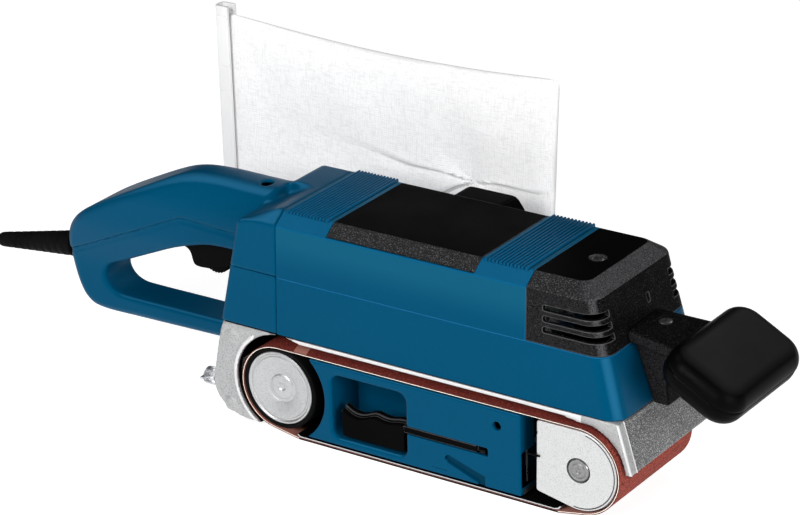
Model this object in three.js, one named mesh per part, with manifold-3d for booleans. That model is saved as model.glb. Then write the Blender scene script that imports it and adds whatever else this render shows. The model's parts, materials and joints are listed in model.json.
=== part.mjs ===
// Handheld belt sander for 75 x 533 mm belts. Millimetres, +Z up, +X towards the front roller.
// The origin is the centre of the flat sanding face; the open side of the belt faces -Y.
import * as THREE from "three";
import { mergeVertices } from "three/addons/utils/BufferGeometryUtils.js";
import Module from "manifold-3d";

const wasm = await Module();
wasm.setup();

// ---- driving dimensions ----
const GAP = 0.3; // clearance between touching pieces
const BELT_WIDTH = 75;
const BELT_THICK = 1.1;
const WRAP_R = 25; // outer radius of the belt round either roller
const AXLE_X = 95.5; // the two rollers stand at -AXLE_X and +AXLE_X
const AXLE_Z = 27.6;
const SOLE_HALF = 83; // half the length of the flat sanding face
const HALF = BELT_WIDTH / 2;
const ROLL_R = WRAP_R - BELT_THICK - 0.5;

const BODY_Y = 9.75; // centre plane of the housing and handles
const BASE_Z = 58.4; // underside of the blue housing
const EDGE_Z = 121.1; // lower edge of the top chamfer
const TOP_Z = 127.5;
const BASE_W = 44.25; // half widths at those three heights
const EDGE_W = 41.05;
const TOP_W = 32.2;
const SEAM_X = -97.4; // joint between motor housing and rear shells
const REAR_X = -136; // rear of the base
const NOSE_X = 118.4; // front of the housing at its base
const NOSE_LEAN = 0.266; // the front face leans back by this much per millimetre of height
const CAP_X = 60.9;
const CAP_Z = 91.3; // parting line round the body
const PANEL_X = [-65.1, 29.6];
const WALL = 2.6;
const ACROSS = [-60, 80]; // a Y span wider than the machine, for cuts that go right through

const MOTOR_Z = 92;
const LAY_X = -98; // cross shaft that the bevel gear turns
const PULLEY_Y = [41.4, 48.2];
const SMALL_TEETH = 14;
const LARGE_TEETH = 42;
const TOOTH_R = 0.5; // pulley radius per tooth
const BEVEL_R = [7, 20.5];
const PINION_TEETH = 10;
const WHEEL_TEETH = 29;

const GRIP_W = 19; // half width of the grip
const ARM_W = 13; // half width of the lower arm of the handle
const KNOB_JOINT = 138.6; // X where the bracket's arm meets the front knob
const COVER_SCREWS = [["rear", -117, 9.5], ["front", -71.5, 9.5]]; // X and Z
const SPOUT = [-26, 98]; // X and Z of the dust spout
const SPOUT_R = [10.6, 13];
const SPOUT_END = 79.2;
const BAG_Y = 94; // middle plane of the bag

const BLUE = [0x00567a, 0.5, 0];
const BLACK = [0x161616, 0.55, 0];
const CAST = [0xb4b4b0, 0.5, 0.8];
const STEEL = [0xb9bcc0, 0.3, 0.9];
const COPPER = [0xb06a3a, 0.35, 0.9];
const RUBBER = [0x1b1b1b, 0.85, 0];
const BRASS = [0xb89a55, 0.35, 0.9];
const NATURAL = [0xe4e3dc, 0.6, 0];
const ABRASIVE = [0x74382c, 0.95, 0];
const GRAPHITE = [0x3a3a3c, 0.7, 0.1];

// ---- geometry helpers ----
const v2 = (x, y) => new THREE.Vector2(x, y);

function solid(geometry) {
  const bare = geometry.clone();
  bare.deleteAttribute("normal");
  bare.deleteAttribute("uv");
  const merged = mergeVertices(bare, 1e-4);
  const vertProperties = new Float32Array(merged.attributes.position.array);
  const triVerts = new Uint32Array(merged.index.array);
  const made = new wasm.Manifold(new wasm.Mesh({ numProp: 3, vertProperties, triVerts }));
  if (made.volume() > 0) return made;
  for (let i = 0; i < triVerts.length; i += 3) {
    [triVerts[i], triVerts[i + 1]] = [triVerts[i + 1], triVerts[i]];
  }
  return new wasm.Manifold(new wasm.Mesh({ numProp: 3, vertProperties, triVerts }));
}

function geometryOf(shape) {
  const mesh = shape.getMesh();
  const geometry = new THREE.BufferGeometry();
  geometry.setAttribute("position", new THREE.BufferAttribute(new Float32Array(mesh.vertProperties), 3));
  geometry.setIndex(new THREE.BufferAttribute(new Uint32Array(mesh.triVerts), 1));
  const flat = geometry.toNonIndexed();
  flat.computeVertexNormals();
  return flat;
}

const union = (...shapes) => shapes.reduce((a, b) => a.add(b));
const cut = (body, ...tools) => tools.reduce((a, b) => a.subtract(b), body);

// Where a drawn outline's two directions and its depth point, for a shape made along each axis.
const basis = (...rows) => new THREE.Matrix4().makeBasis(...rows.map((row) => new THREE.Vector3(...row)));
const AXES = {
  X: basis([0, 1, 0], [0, 0, 1], [1, 0, 0]),
  Y: basis([1, 0, 0], [0, 0, 1], [0, 1, 0]),
  Z: basis([1, 0, 0], [0, 1, 0], [0, 0, 1]),
};

// A prism: the outline is drawn across the axis, X: (y, z), Y: (x, z), Z: (x, y).
function prism(axis, outline, from, to) {
  const shape = outline instanceof THREE.Shape ? outline : new THREE.Shape(outline);
  const settings = { depth: to - from, bevelEnabled: false, curveSegments: 8 };
  const geometry = new THREE.ExtrudeGeometry(shape, settings);
  geometry.translate(0, 0, from).applyMatrix4(AXES[axis]);
  return solid(geometry);
}

function box(x0, x1, y0, y1, z0, z1) {
  return prism("Z", [v2(x0, y0), v2(x1, y0), v2(x1, y1), v2(x0, y1)], z0, z1);
}

function circle(u, v, r, count = 24) {
  return Array.from({ length: count }, (_, i) => {
    const a = ((i + 0.5) * 2 * Math.PI) / count;
    return v2(u + r * Math.cos(a), v + r * Math.sin(a));
  });
}

const rod = (axis, u, v, r, from, to, count) => prism(axis, circle(u, v, r, count), from, to);

function tube(axis, u, v, inner, outer, from, to, count) {
  return cut(rod(axis, u, v, outer, from, to, count), rod(axis, u, v, inner, from - 1, to + 1, count));
}

// A turned piece: the profile [radius, position along the axis] closes on the axis.
function turned(axis, u, v, profile, count = 24) {
  const geometry = new THREE.LatheGeometry(profile.map(([r, h]) => v2(r, h)), count);
  geometry.rotateX(Math.PI / 2);
  geometry.translate(u, v, 0).applyMatrix4(AXES[axis]);
  return solid(geometry);
}

// A loft through outlines with equal point counts, each at its own place along the axis.
function loft(axis, levels) {
  const count = levels[0][1].length;
  const points = levels.flatMap(([h, outline]) => outline.flatMap((p) => [p.x, p.y, h]));
  const index = [];
  for (let k = 0; k + 1 < levels.length; k++) {
    for (let i = 0; i < count; i++) {
      const a = k * count + i;
      const b = k * count + ((i + 1) % count);
      index.push(a, b, b + count, a, b + count, a + count);
    }
  }
  const last = (levels.length - 1) * count;
  for (const [a, b, c] of THREE.ShapeUtils.triangulateShape(levels[0][1], [])) index.push(c, b, a);
  for (const [a, b, c] of THREE.ShapeUtils.triangulateShape(levels.at(-1)[1], [])) {
    index.push(last + a, last + b, last + c);
  }
  const geometry = new THREE.BufferGeometry();
  geometry.setAttribute("position", new THREE.Float32BufferAttribute(points, 3));
  geometry.setIndex(index);
  return solid(geometry.applyMatrix4(AXES[axis]));
}

// A rectangle with a radius at each corner, given in turn from (u0, v0) anticlockwise.
function roundRect(u0, u1, v0, v1, radii, steps = 4) {
  const corners = [[u0, v0, Math.PI], [u1, v0, 1.5 * Math.PI], [u1, v1, 0], [u0, v1, 0.5 * Math.PI]];
  return corners.flatMap(([u, v, start], i) => {
    const r = Array.isArray(radii) ? radii[i] : radii;
    const cu = u + (u === u0 ? r : -r);
    const cv = v + (v === v0 ? r : -r);
    return Array.from({ length: steps + 1 }, (_, k) => {
      const a = start + (k * Math.PI) / 2 / steps;
      return v2(cu + r * Math.cos(a), cv + r * Math.sin(a));
    });
  });
}

// A tube along a path, with a round section.
function wire(curve, r, steps, sides = 6) {
  const shape = new THREE.Shape(circle(0, 0, r, sides));
  return solid(new THREE.ExtrudeGeometry(shape, { steps, bevelEnabled: false, extrudePath: curve }));
}

// A toothed outline round (0, 0).
function toothed(count, root, tip) {
  return Array.from({ length: count * 4 }, (_, i) => {
    const a = ((i + 0.5) * Math.PI) / 2 / count;
    const r = i % 4 < 2 ? tip : root;
    return v2(r * Math.cos(a), r * Math.sin(a));
  });
}

const shift = (outline, u, v) => outline.map((p) => v2(p.x + u, p.y + v));

const sander = new THREE.Group();

function add(name, shape, [colour, roughness, metalness]) {
  const material = new THREE.MeshStandardMaterial({ color: colour, roughness, metalness });
  const mesh = new THREE.Mesh(geometryOf(shape), material);
  mesh.name = name;
  sander.add(mesh);
}

// ---- body envelope ----
const noseAt = (z) => NOSE_X - (z - BASE_Z) * NOSE_LEAN;

// The housing's outer form between two X planes, shrunk by an inset on every side.
function bodyForm(rear, inset, frontInset = inset) {
  const level = (z, halfWidth, front, corner) => [
    z,
    roundRect(rear, front, BODY_Y - halfWidth, BODY_Y + halfWidth, [0.6, corner, corner, 0.6]),
  ];
  return loft("Z", [
    level(BASE_Z, BASE_W - inset, noseAt(BASE_Z) - frontInset, 10 - inset),
    level(EDGE_Z - inset / 2, EDGE_W - inset, noseAt(EDGE_Z) - frontInset, 9 - inset),
    level(TOP_Z - inset, TOP_W - inset / 2, noseAt(TOP_Z) - 7 - frontInset, 5 - inset / 2),
  ]);
}

const capZone = box(CAP_X, 140, ...ACROSS, CAP_Z, 140);
const panelZone = box(...PANEL_X, ...ACROSS, EDGE_Z + 0.2, 140);
const form = bodyForm(SEAM_X, 0);
const inner = bodyForm(SEAM_X - 5, WALL);

function motorHousing() {
  const cavity = cut(inner.trimByPlane([0, 0, 1], BASE_Z + 3), box(56, 59, ...ACROSS, 0, 140));
  const ledge = bodyForm(PANEL_X[0] - 20, 2.4 + GAP).trimByPlane([0, 0, 1], EDGE_Z - 4);
  const panelSeat = cut(panelZone, ledge);
  const lip = cut(capZone, box(CAP_X - 5, 140, ...ACROSS, CAP_Z - 1, CAP_Z));
  const bearingSeat = rod("X", BODY_Y, MOTOR_Z, 11 + GAP, 50, 65, 32);
  const belt = box(LAY_X - 3, -64, 40.8, 50.2, 50, BASE_Z + 8);
  return cut(form, cavity, panelSeat, lip, bearingSeat, belt);
}

function topPanel() {
  const ledge = bodyForm(PANEL_X[0] - 20, 2.4);
  return cut(form.intersect(box(PANEL_X[0] + GAP, PANEL_X[1] - GAP, ...ACROSS, EDGE_Z + 0.5, 140)), ledge);
}

function frontCap() {
  const shell = form.intersect(box(CAP_X + GAP, 140, ...ACROSS, CAP_Z + GAP, 140));
  const slots = [98.5, 104.5, 110.6].flatMap((z) => [
    box(70, 125, BODY_Y - 50, BODY_Y - 30, z, z + 3.2),
    box(70, 125, BODY_Y + 30, BODY_Y + 50, z, z + 3.2),
  ]);
  const screwHole = rod("Z", 81, 7.3, 2.2, 110, 140, 16);
  return cut(shell, inner.trimByPlane([1, 0, 0], CAP_X - 3), ...slots, screwHole);
}

// ---- rear shells and D handle ----
const BOOT_TIP = [-332, BODY_Y, 48.4];
const BOOT_TILT = -9.6; // degrees; the cord drops away from the handle
const alongCord = (shape) => shape.rotate([0, BOOT_TILT, 0]).translate(BOOT_TIP);
const HOOD = [
  v2(-134.9, BASE_Z - GAP), v2(-138.2, 45.6), v2(-143.3, 20), v2(-141, 12), v2(-134, 5), v2(-124, 1.4),
  v2(-100, 1.4), v2(-100, BASE_Z - GAP),
];
const gripOuter = new THREE.SplineCurve([
  v2(-136, 127.5), v2(-162, 127.5), v2(-185, 123), v2(-222, 106), v2(-250, 92), v2(-264, 82),
  v2(-271, 70), v2(-271.5, 57), v2(-267, 40.5), v2(-260, 30.5), v2(-247, 26.6), v2(-216, 26.9),
  v2(-136, 28.6),
]);
const fingerGap = new THREE.SplineCurve([
  v2(-130, 88), v2(-152, 88), v2(-166, 86.5), v2(-186, 80.5), v2(-206, 71.8), v2(-228, 61.8),
  v2(-240, 56.5), v2(-243.5, 50), v2(-241, 43.6), v2(-234, 39.8), v2(-222, 39.1), v2(-190, 39.3),
  v2(-130, 39.5),
]);
const ledgeLine = [
  v2(-300, 49), v2(-257, 66), v2(-232, 77.5), v2(-187, 97.6), v2(-179, 100.3), v2(-166, 100), v2(-137, 98.5),
  v2(-137, CAP_Z), v2(-60, CAP_Z),
];

// The handle's section seen along X, shrunk by an inset.
function gripSection(inset) {
  const right = [
    v2(ARM_W, 20), v2(ARM_W, 58), v2(GRIP_W, 84), v2(GRIP_W, 108), v2(14, 121), v2(7, 127.5 + GAP),
  ].map((p) => v2(p.x - inset, p.y - (p.y > 120 ? inset : 0)));
  const left = right.toReversed().map((p) => v2(-p.x, p.y));
  return shift([...right, ...left], BODY_Y, 0);
}

function rearForm() {
  const side = [
    v2(REAR_X, BASE_Z), v2(SEAM_X - GAP, BASE_Z), v2(SEAM_X - GAP, TOP_Z + 1), v2(-118, TOP_Z + 1),
    v2(-124, 120),
  ];
  const block = bodyForm(REAR_X - 10, 0).intersect(prism("Y", side, ...ACROSS));
  const scoop = rod("Y", -138, 184, 66, -60, BODY_Y + 3, 64);
  const loopSide = [...gripOuter.getPoints(40), v2(-120, 40), v2(-120, TOP_Z)];
  const loop = prism("Y", loopSide, BODY_Y - GRIP_W, BODY_Y + GRIP_W)
    .intersect(prism("X", gripSection(0), -320, SEAM_X - GAP));
  const gap = prism("Y", fingerGap.getPoints(32), ...ACROSS);
  const gapInHandle = gap.trimByPlane([-1, 0, 0], 133);
  const armEnd = box(REAR_X - 3, -110, ...ACROSS, 0, BASE_Z);
  const hoodSpace = prism("Y", shift(HOOD, -0.5, 0), ...ACROSS);
  return union(cut(block, scoop), cut(loop, gapInHandle, armEnd, hoodSpace));
}

function rearCavity() {
  const block = bodyForm(REAR_X - 10, WALL).intersect(
    prism("Y", [v2(-132, BASE_Z + 3), v2(-90, BASE_Z + 3), v2(-90, 116), v2(-119, 112)], ...ACROSS),
  );
  const grip = [
    v2(-110, 116.5), v2(-121, 116.5), v2(-128, 124), v2(-162, 124), v2(-184, 119.5), v2(-222, 102),
    v2(-257, 82), v2(-264.8, 71), v2(-264.6, 50), v2(-259, 46), v2(-250, 49), v2(-248, 57),
    v2(-238, 63.5), v2(-206, 76.5), v2(-180, 88), v2(-164, 91.5), v2(-110, 91.5),
  ];
  return union(block, prism("Y", grip, -20, 40).intersect(prism("X", gripSection(3.5), -280, -100)));
}

function rearShells() {
  const shell = cut(
    rearForm(),
    rearCavity(),
    box(-197, -148, BODY_Y - 8.5, BODY_Y + 8.5, 70, 93), // trigger opening
    rod("Y", -208, 96, 5.5, BODY_Y + 10, BODY_Y + 25, 20), // lock button hole
    rod("Z", -131, 8, 3.4, 100, 135, 16), // screw well
    alongCord(rod("X", 0, 0, 6.2, 40, 76, 20)), // cord entry
    box(LAY_X - 22, -90, 40.8, 50.2, 50, BASE_Z + 8), // toothed belt
  );
  const above = prism("Y", [...ledgeLine, v2(-60, 150), v2(-300, 150)], ...ACROSS);
  const below = prism("Y", [...shift(ledgeLine, -GAP, -1.5 * GAP), v2(-60, 0), v2(-300, 0)], ...ACROSS);
  add("rear_shell_upper", shell.intersect(above), BLUE);
  add("rear_shell_lower", shell.intersect(below), BLUE);
}

// ---- base casting ----
const TRACKING = [-27, 18.3]; // Y and Z of the belt tracking screw

function trackingScrew() {
  const profile = [[0, -152.5], [5, -152.5], [5, -144.6], [3, -144], [3, -139.8], [0, -139.8]];
  return turned("X", ...TRACKING, profile, 28);
}

function baseCasting() {
  const top = BASE_Z - GAP;
  const plate = prism("Z", roundRect(REAR_X + 1, NOSE_X, -34.5, 54, [2, 10, 10, 2]), 53.6, top);
  const wall = prism("Y", [v2(-126, 3), v2(60, 3), v2(60, 54), v2(-126, 54)], HALF + 0.7, 41);
  const boss = rod("Y", -AXLE_X, AXLE_Z, 15, 22, 40, 32);
  const pocket = [
    v2(-130, 53.6), v2(-135, 44.5), v2(-139.8, 20), v2(-137, 13.5), v2(-132, 8), v2(-123, 4.6),
    v2(-108, 4.6), v2(-104, 20), v2(-104, 53.6),
  ];
  const drumSpace = rod("Y", -AXLE_X, AXLE_Z, WRAP_R + 3.5, ACROSS[0], HALF + 0.7, 48);
  const hood = cut(prism("Y", HOOD, -34.5, 41), prism("Y", pocket, -30.5, HALF + 0.7));
  const apronEnd = [v2(-34.5, 30), v2(48, 30), v2(50.5, 33), v2(44, 43), v2(44, 60), v2(-34.5, 60)];
  const apron = prism("Y", [v2(113.4, top), v2(117.4, top), v2(125.6, 30.4), v2(122.4, 30.4)], -34.5, 51)
    .intersect(prism("X", apronEnd, 100, 130));
  return cut(
    union(cut(union(plate, wall, hood, apron), drumSpace), boss),
    rod("Y", -AXLE_X, AXLE_Z, 11.4, 0, 60, 32),
    box(LAY_X - 22, -66, 40.9, 51, 45, 70), // the toothed belt passes here
    rod("X", ...TRACKING, 3 + GAP, -160, -138, 16), // tracking screw bore
    ...COVER_SCREWS.map(([, x, z]) => rod("Y", x, z, 1.5 + GAP, 38, 42, 16)),
  );
}

// ---- running gear inside the belt ----
function beltOutline(radius, soleZ) {
  const arc = (x, from, to) =>
    Array.from({ length: 15 }, (_, i) => {
      const a = from + ((to - from) * i) / 14;
      return v2(x + radius * Math.cos(a), AXLE_Z + radius * Math.sin(a));
    });
  const lean = Math.PI / 18;
  return [
    ...arc(AXLE_X, Math.PI / 2, -Math.PI / 2 + lean),
    v2(SOLE_HALF, soleZ),
    v2(-SOLE_HALF, soleZ),
    ...arc(-AXLE_X, -Math.PI / 2 - lean, (-3 * Math.PI) / 2),
  ];
}

function sandingBelt() {
  const outer = prism("Y", beltOutline(WRAP_R, 0), -HALF, HALF);
  return cut(outer, prism("Y", beltOutline(WRAP_R - BELT_THICK, BELT_THICK), -HALF - 1, HALF + 1));
}

const SLOT_Z = [20.9, 25.9];
const RECESS = [-58.5, -12, 7, 44.5]; // X and Z

function framePlate() {
  const block = box(-80, 60.3, -HALF, 37.9, 2.9, 50.1);
  const [x0, x1, z0, z1] = RECESS;
  return cut(
    block,
    rod("Y", -AXLE_X, AXLE_Z, 30.3, ...ACROSS, 64),
    prism("Y", roundRect(x0, x1, z0, z1, 5), -HALF - 1, -11.5),
    box(-12.5, 39.7, -HALF - 1, -25, ...SLOT_Z),
    box(-9, 57.5, -34.5, 38.5, 6.2, 47),
    box(-60, -8, -8.5, 38.5, 6.2, 47),
    box(55, 62, -20, 20, 14, 42),
    box(-76, 61, -33.8, 38.5, 0, 5.6),
    rod("Y", 45.8, 40.6, 2, -HALF - 1, -33, 16),
    prism("Y", [v2(12, 14.5), v2(16, 15.5), v2(43, 4), v2(43, 2), v2(34, 2)], -HALF - 1, -36),
  );
}

function solePlate() {
  const lower = [v2(-84.2, 2.6), v2(-82.5, 1.4), v2(81, 1.4), v2(83.5, 2.1), v2(85, 3.9)];
  const upper = [v2(84.4, 4.4), v2(83, 2.9), v2(80.7, 2.2), v2(-82.2, 2.2), v2(-83.7, 3.3)];
  return prism("Y", [...lower, ...upper], -HALF, HALF - 1);
}

// The drum's near face is dished, and its far side is hollow round the shaft's boss in the casting.
const DRUM_PROFILE = [
  [0, -34.6], [9.6, -34.6], [11.5, -36.6], [21.2, -36.6], [21.2, 36], [17, 36], [17, -22], [6.4, -22],
  [6.4, -32], [0, -32],
];

// ---- roller carriage ----
function rollerCarriage() {
  const cheek = [
    v2(69.2, 9.6), v2(82.5, 6.9),
    ...Array.from({ length: 17 }, (_, i) => {
      const a = -Math.PI / 2 - 0.25 + ((Math.PI + 0.25) * i) / 16;
      return v2(AXLE_X + 22.9 * Math.cos(a), AXLE_Z + 22.9 * Math.sin(a));
    }),
    v2(69.2, 50.5),
  ];
  const web = box(65.4, 70.4, -36.6, 36.6, 12, 48);
  const stem = box(-4, 66, -6, 6, 22, 33);
  const body = union(prism("Y", cheek, -37.3, -34.5), prism("Y", cheek, 34.5, 37.3), web, stem);
  return cut(body, rod("Y", AXLE_X, AXLE_Z, 6.64 + GAP, ...ACROSS, 32));
}

// The lever lies along the slot, its pad low in the recess; the pin stands at the slot's front end.
const LEVER_X = 32;
const LEVER_Y = -30.5;

function tensionLever() {
  const pad = [
    v2(-54.5, 8), v2(-21.5, 8), v2(-15.5, 18.5), v2(-15.5, 27.5), v2(-22, 25), v2(-28.3, 23.5),
    v2(-31, 25), v2(-34.1, 25.6), v2(-37, 24), v2(-40.2, 21.7), v2(-48.1, 20.3), v2(-54.5, 22.8),
  ];
  const grip = prism("Y", pad, -36.5, -24);
  const armZ = [SLOT_Z[0] + 0.6, SLOT_Z[1] - 0.6];
  const arm = box(-17, LEVER_X, -36.5, -29, ...armZ);
  const hub = rod("Z", LEVER_X, LEVER_Y, 3.9, ...armZ, 20);
  const hollow = prism("Y", [v2(-51, 10.5), v2(-24, 10.5), v2(-20, 17), v2(-51, 17)], -37, -30);
  return cut(union(grip, arm, hub), hollow, rod("Z", LEVER_X, LEVER_Y, 1.8 + GAP, 0, 60, 16));
}

function springAlong(axisY, axisZ, from, to, r, wireR, turns) {
  const steps = turns * 10;
  const points = Array.from({ length: steps + 1 }, (_, i) => {
    const a = (i * 2 * Math.PI) / 10;
    const x = from + ((to - from) * i) / steps;
    return new THREE.Vector3(x, axisY + r * Math.cos(a), axisZ + r * Math.sin(a));
  });
  return wire(new THREE.CatmullRomCurve3(points), wireR, steps);
}

// ---- drive ----
function bevel(axis, u, v, teeth, radius, from, to) {
  const small = (radius * 8) / 11;
  const tips = toothed(teeth, radius - 1, radius);
  const ends = toothed(teeth, small - 0.8, small);
  const [wide, narrow] = [shift(tips, u, v), shift(ends, u, v)];
  return from < to ? loft(axis, [[from, wide], [to, narrow]]) : loft(axis, [[to, narrow], [from, wide]]);
}

function driveBelt() {
  const small = SMALL_TEETH * TOOTH_R + 0.6;
  const large = LARGE_TEETH * TOOTH_R + 0.6;
  const dx = LAY_X + AXLE_X;
  const dz = MOTOR_Z - AXLE_Z;
  const dir = Math.atan2(dz, dx);
  const open = Math.acos((large - small) / Math.hypot(dx, dz));
  const around = (extra) => {
    const arc = (x, z, r, from, to) =>
      Array.from({ length: 17 }, (_, i) => {
        const a = from + ((to - from) * i) / 16;
        return v2(x + r * Math.cos(a), z + r * Math.sin(a));
      });
    return [
      ...arc(LAY_X, MOTOR_Z, small + extra, dir - open, dir + open),
      ...arc(-AXLE_X, AXLE_Z, large + extra, dir + open, dir - open + 2 * Math.PI),
    ];
  };
  return cut(prism("Y", around(1.6), ...PULLEY_Y), prism("Y", around(0), 0, 60));
}

function driveCover() {
  const outline = [
    v2(-124.5, BASE_Z - 1), v2(-124.5, 8), v2(-118, 2), v2(-72, 2), v2(-64.5, 10), v2(-64.5, BASE_Z - 1),
  ];
  const hollow = [
    v2(-122, 60), v2(-122, 9), v2(-117, 4.2), v2(-73, 4.2), v2(-67, 11), v2(-67, 60),
  ];
  const shell = cut(prism("Y", outline, 41 + GAP, 54.5), prism("Y", hollow, 40, 52));
  const bosses = COVER_SCREWS.map(([, x, z]) => rod("Y", x, z, 3.6, 41 + GAP, 53, 20));
  const holes = COVER_SCREWS.map(([, x, z]) => rod("Y", x, z, 1.5 + GAP, 40, 56, 16));
  return cut(union(shell, ...bosses), ...holes, box(-140, -40, 40, 56, 53.3, 70));
}

// The head stands on the cover; its socket is six-sided.
const coverScrew = (x, z) => screw("Y", x, z, 39, 54.5 + GAP, 56.6, 1.5, 2.8);

function motor() {
  const round = (...args) => rod("X", BODY_Y, MOTOR_Z, ...args);
  const ring = (...args) => tube("X", BODY_Y, MOTOR_Z, ...args);
  add("stator", ring(17.4, 27, -15, 42, 36), GRAPHITE);
  add("armature_core", ring(4.3, 16.6, -13, 40, 36), STEEL);
  add("commutator", ring(4.3, 11, -45, -28, 24), COPPER);
  add("armature_shaft", turned("X", BODY_Y, MOTOR_Z, [[0, -84], [4, -84], [4, 69], [0, 69]]), STEEL);
  const blades = Array.from({ length: 9 }, (_, i) =>
    box(45, 53, BODY_Y - 1, BODY_Y + 1, MOTOR_Z + 10, MOTOR_Z + 27)
      .translate([0, -BODY_Y, -MOTOR_Z])
      .rotate([(i * 360) / 9, 0, 0])
      .translate([0, BODY_Y, MOTOR_Z]));
  add("cooling_fan", union(ring(4.3, 12, 44, 53, 24), ring(11.5, 27, 44, 45.6, 36), ...blades), NATURAL);
  add("motor_bearing_front", ring(4.3, 11, 56.2, 62, 32), STEEL);
  add("motor_bearing_rear", ring(4.3, 11, -68, -61, 32), STEEL);
  const brush = (y0, y1) => box(-41, -32, y0, y1, MOTOR_Z - 5, MOTOR_Z + 5);
  add("brush_holder_near", brush(BODY_Y - 34, BODY_Y - 11.5), BRASS);
  add("brush_holder_far", brush(BODY_Y + 11.5, BODY_Y + 34), BRASS);
  const mesh = LAY_X + BEVEL_R[1];
  const pinion = bevel("X", BODY_Y, MOTOR_Z, PINION_TEETH, BEVEL_R[0] - 0.2, mesh + 1, mesh - 7);
  add("bevel_pinion", cut(pinion, round(4 + GAP, -120, 0, 24)), STEEL);
}

function crossShaft() {
  const ring = (...args) => tube("Y", LAY_X, MOTOR_Z, ...args);
  add("lay_shaft", rod("Y", LAY_X, MOTOR_Z, 4, -12, PULLEY_Y[1]), STEEL);
  const gear = bevel("Y", LAY_X, MOTOR_Z, WHEEL_TEETH, BEVEL_R[1] - 0.8, BODY_Y + 9.8, BODY_Y + 8.2);
  add("bevel_gear", cut(gear, rod("Y", LAY_X, MOTOR_Z, 4 + GAP, ...ACROSS)), STEEL);
  add("lay_bearing_near", ring(4.3, 9.5, -10, -4, 28), STEEL);
  add("lay_bearing_far", ring(4.3, 9.5, 31, 37, 28), STEEL);
  const teeth = toothed(SMALL_TEETH, SMALL_TEETH * TOOTH_R - 0.7, SMALL_TEETH * TOOTH_R);
  const pulley = prism("Y", shift(teeth, LAY_X, MOTOR_Z), ...PULLEY_Y);
  add("small_pulley", cut(pulley, rod("Y", LAY_X, MOTOR_Z, 4 + GAP, 0, 60)), NATURAL);
}

function drum() {
  const ring = (...args) => tube("Y", -AXLE_X, AXLE_Z, ...args);
  const hub = turned("Y", -AXLE_X, AXLE_Z, DRUM_PROFILE, 40);
  add("drum_hub", cut(hub, rod("Y", -AXLE_X, AXLE_Z, 6 + GAP, -30, 60)), CAST);
  add("drum_sleeve", ring(21.2 + GAP, ROLL_R, -36.9, 36.4, 48), RUBBER);
  add("drum_shaft", rod("Y", -AXLE_X, AXLE_Z, 6, -29.6, PULLEY_Y[1]), STEEL);
  add("drum_bearing_inner", ring(6.3, 11, 23, 30, 28), STEEL);
  add("drum_bearing_outer", ring(6.3, 11, 33, 40, 28), STEEL);
  const teeth = toothed(LARGE_TEETH, LARGE_TEETH * TOOTH_R - 0.7, LARGE_TEETH * TOOTH_R);
  const pulley = prism("Y", shift(teeth, -AXLE_X, AXLE_Z), ...PULLEY_Y);
  add("large_pulley", cut(pulley, rod("Y", -AXLE_X, AXLE_Z, 6 + GAP, 0, 60)), NATURAL);
}

// ---- handles ----
function frontHandle() {
  const face = (z) => noseAt(z) + GAP;
  const side = [
    v2(face(57), 57), v2(face(57) + 9, 57), v2(face(80) + 14, 80), v2(KNOB_JOINT, 89), v2(KNOB_JOINT, 98),
    v2(face(99.5), 99.5),
  ];
  const front = [
    v2(-1, 57), v2(20.5, 57), v2(22.5, 88), v2(22.5, 100), v2(-17, 100), v2(-17, 91), v2(-6, 89),
  ];
  const plan = [v2(100, -7), v2(KNOB_JOINT, -17), v2(KNOB_JOINT, 22.5), v2(100, 20)];
  const bracket = prism("Y", side, ...ACROSS)
    .intersect(prism("X", front, 90, 150))
    .intersect(prism("Z", plan, 50, 110));
  add("handle_bracket", cut(bracket, rod("Z", 120, BODY_Y, 2.4, 80, 120, 16)), BLACK);
  const [halfLong, halfThick, straight, rounding, tilt] = [24, 12.5, 29, 11, -0.5];
  const section = (k) => {
    const inset = rounding * (1 - Math.sqrt(1 - k * k));
    const [u, v] = [halfLong - inset, halfThick - inset];
    const turnedOutline = roundRect(-u, u, -v, v, v * 0.75).map((p) => p.rotateAround(v2(0, 0), tilt));
    return shift(turnedOutline, 158.5, 84.3);
  };
  const steps = [0, 0.5, 0.86, 1];
  const pillow = loft("Y", [
    ...steps.toReversed().map((k) => [BODY_Y - straight - rounding * k, section(k)]),
    ...steps.map((k) => [BODY_Y + straight + rounding * k, section(k)]),
  ]);
  add("front_knob", cut(pillow, box(120, KNOB_JOINT + GAP, -17.5, 23, 80, 110)), BLACK);
  add("knob_screw", screw("Z", 120, BODY_Y, 90, 99.9, 100.9, 2, 3.8), STEEL);
}

// A screw that points down its axis: tip, seat and top of the head, then the two radii.
function screw(axis, u, v, tip, seat, top, shank, head) {
  const profile = [[0, tip], [shank, tip], [shank, seat], [head, seat], [head, top], [0, top]];
  return turned(axis, u, v, profile, 16);
}

function controls() {
  const pivotX = -190;
  const outline = [
    v2(-195.5, 86), v2(-195.5, 78), v2(-187, 73.4), v2(-184.7, 65.4), v2(-179.7, 64.4), v2(-158, 69),
    v2(-150, 74), v2(-150, 86),
  ];
  const trigger = cut(
    prism("Y", outline, BODY_Y - 7.5, BODY_Y + 7.5),
    prism("Y", circle(-169, 73.5, 10.6, 24), BODY_Y - 4, BODY_Y + 4),
    box(-180, -158, BODY_Y - 4, BODY_Y + 4, 60, 73),
    rod("Y", pivotX, 84, 1.8, ...ACROSS, 12),
  );
  add("trigger", trigger, BLACK);
  add("speed_wheel", prism("Y", shift(toothed(18, 9, 9.8), -169, 73.5), BODY_Y - 3.6, BODY_Y + 3.6), BLACK);
  const button = turned("Y", -208, 96, [[0, 23], [5, 23], [5, 31], [3.8, 31.8], [0, 31.8]], 20);
  add("lock_button", button, BLACK);
  add("switch_body", box(-196, -152, BODY_Y - 11, BODY_Y + 11, 94, 112), GRAPHITE);
  add("electronics_module", box(-244, -218, BODY_Y - 9, BODY_Y + 9, 73, 86), GRAPHITE);
}

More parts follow.
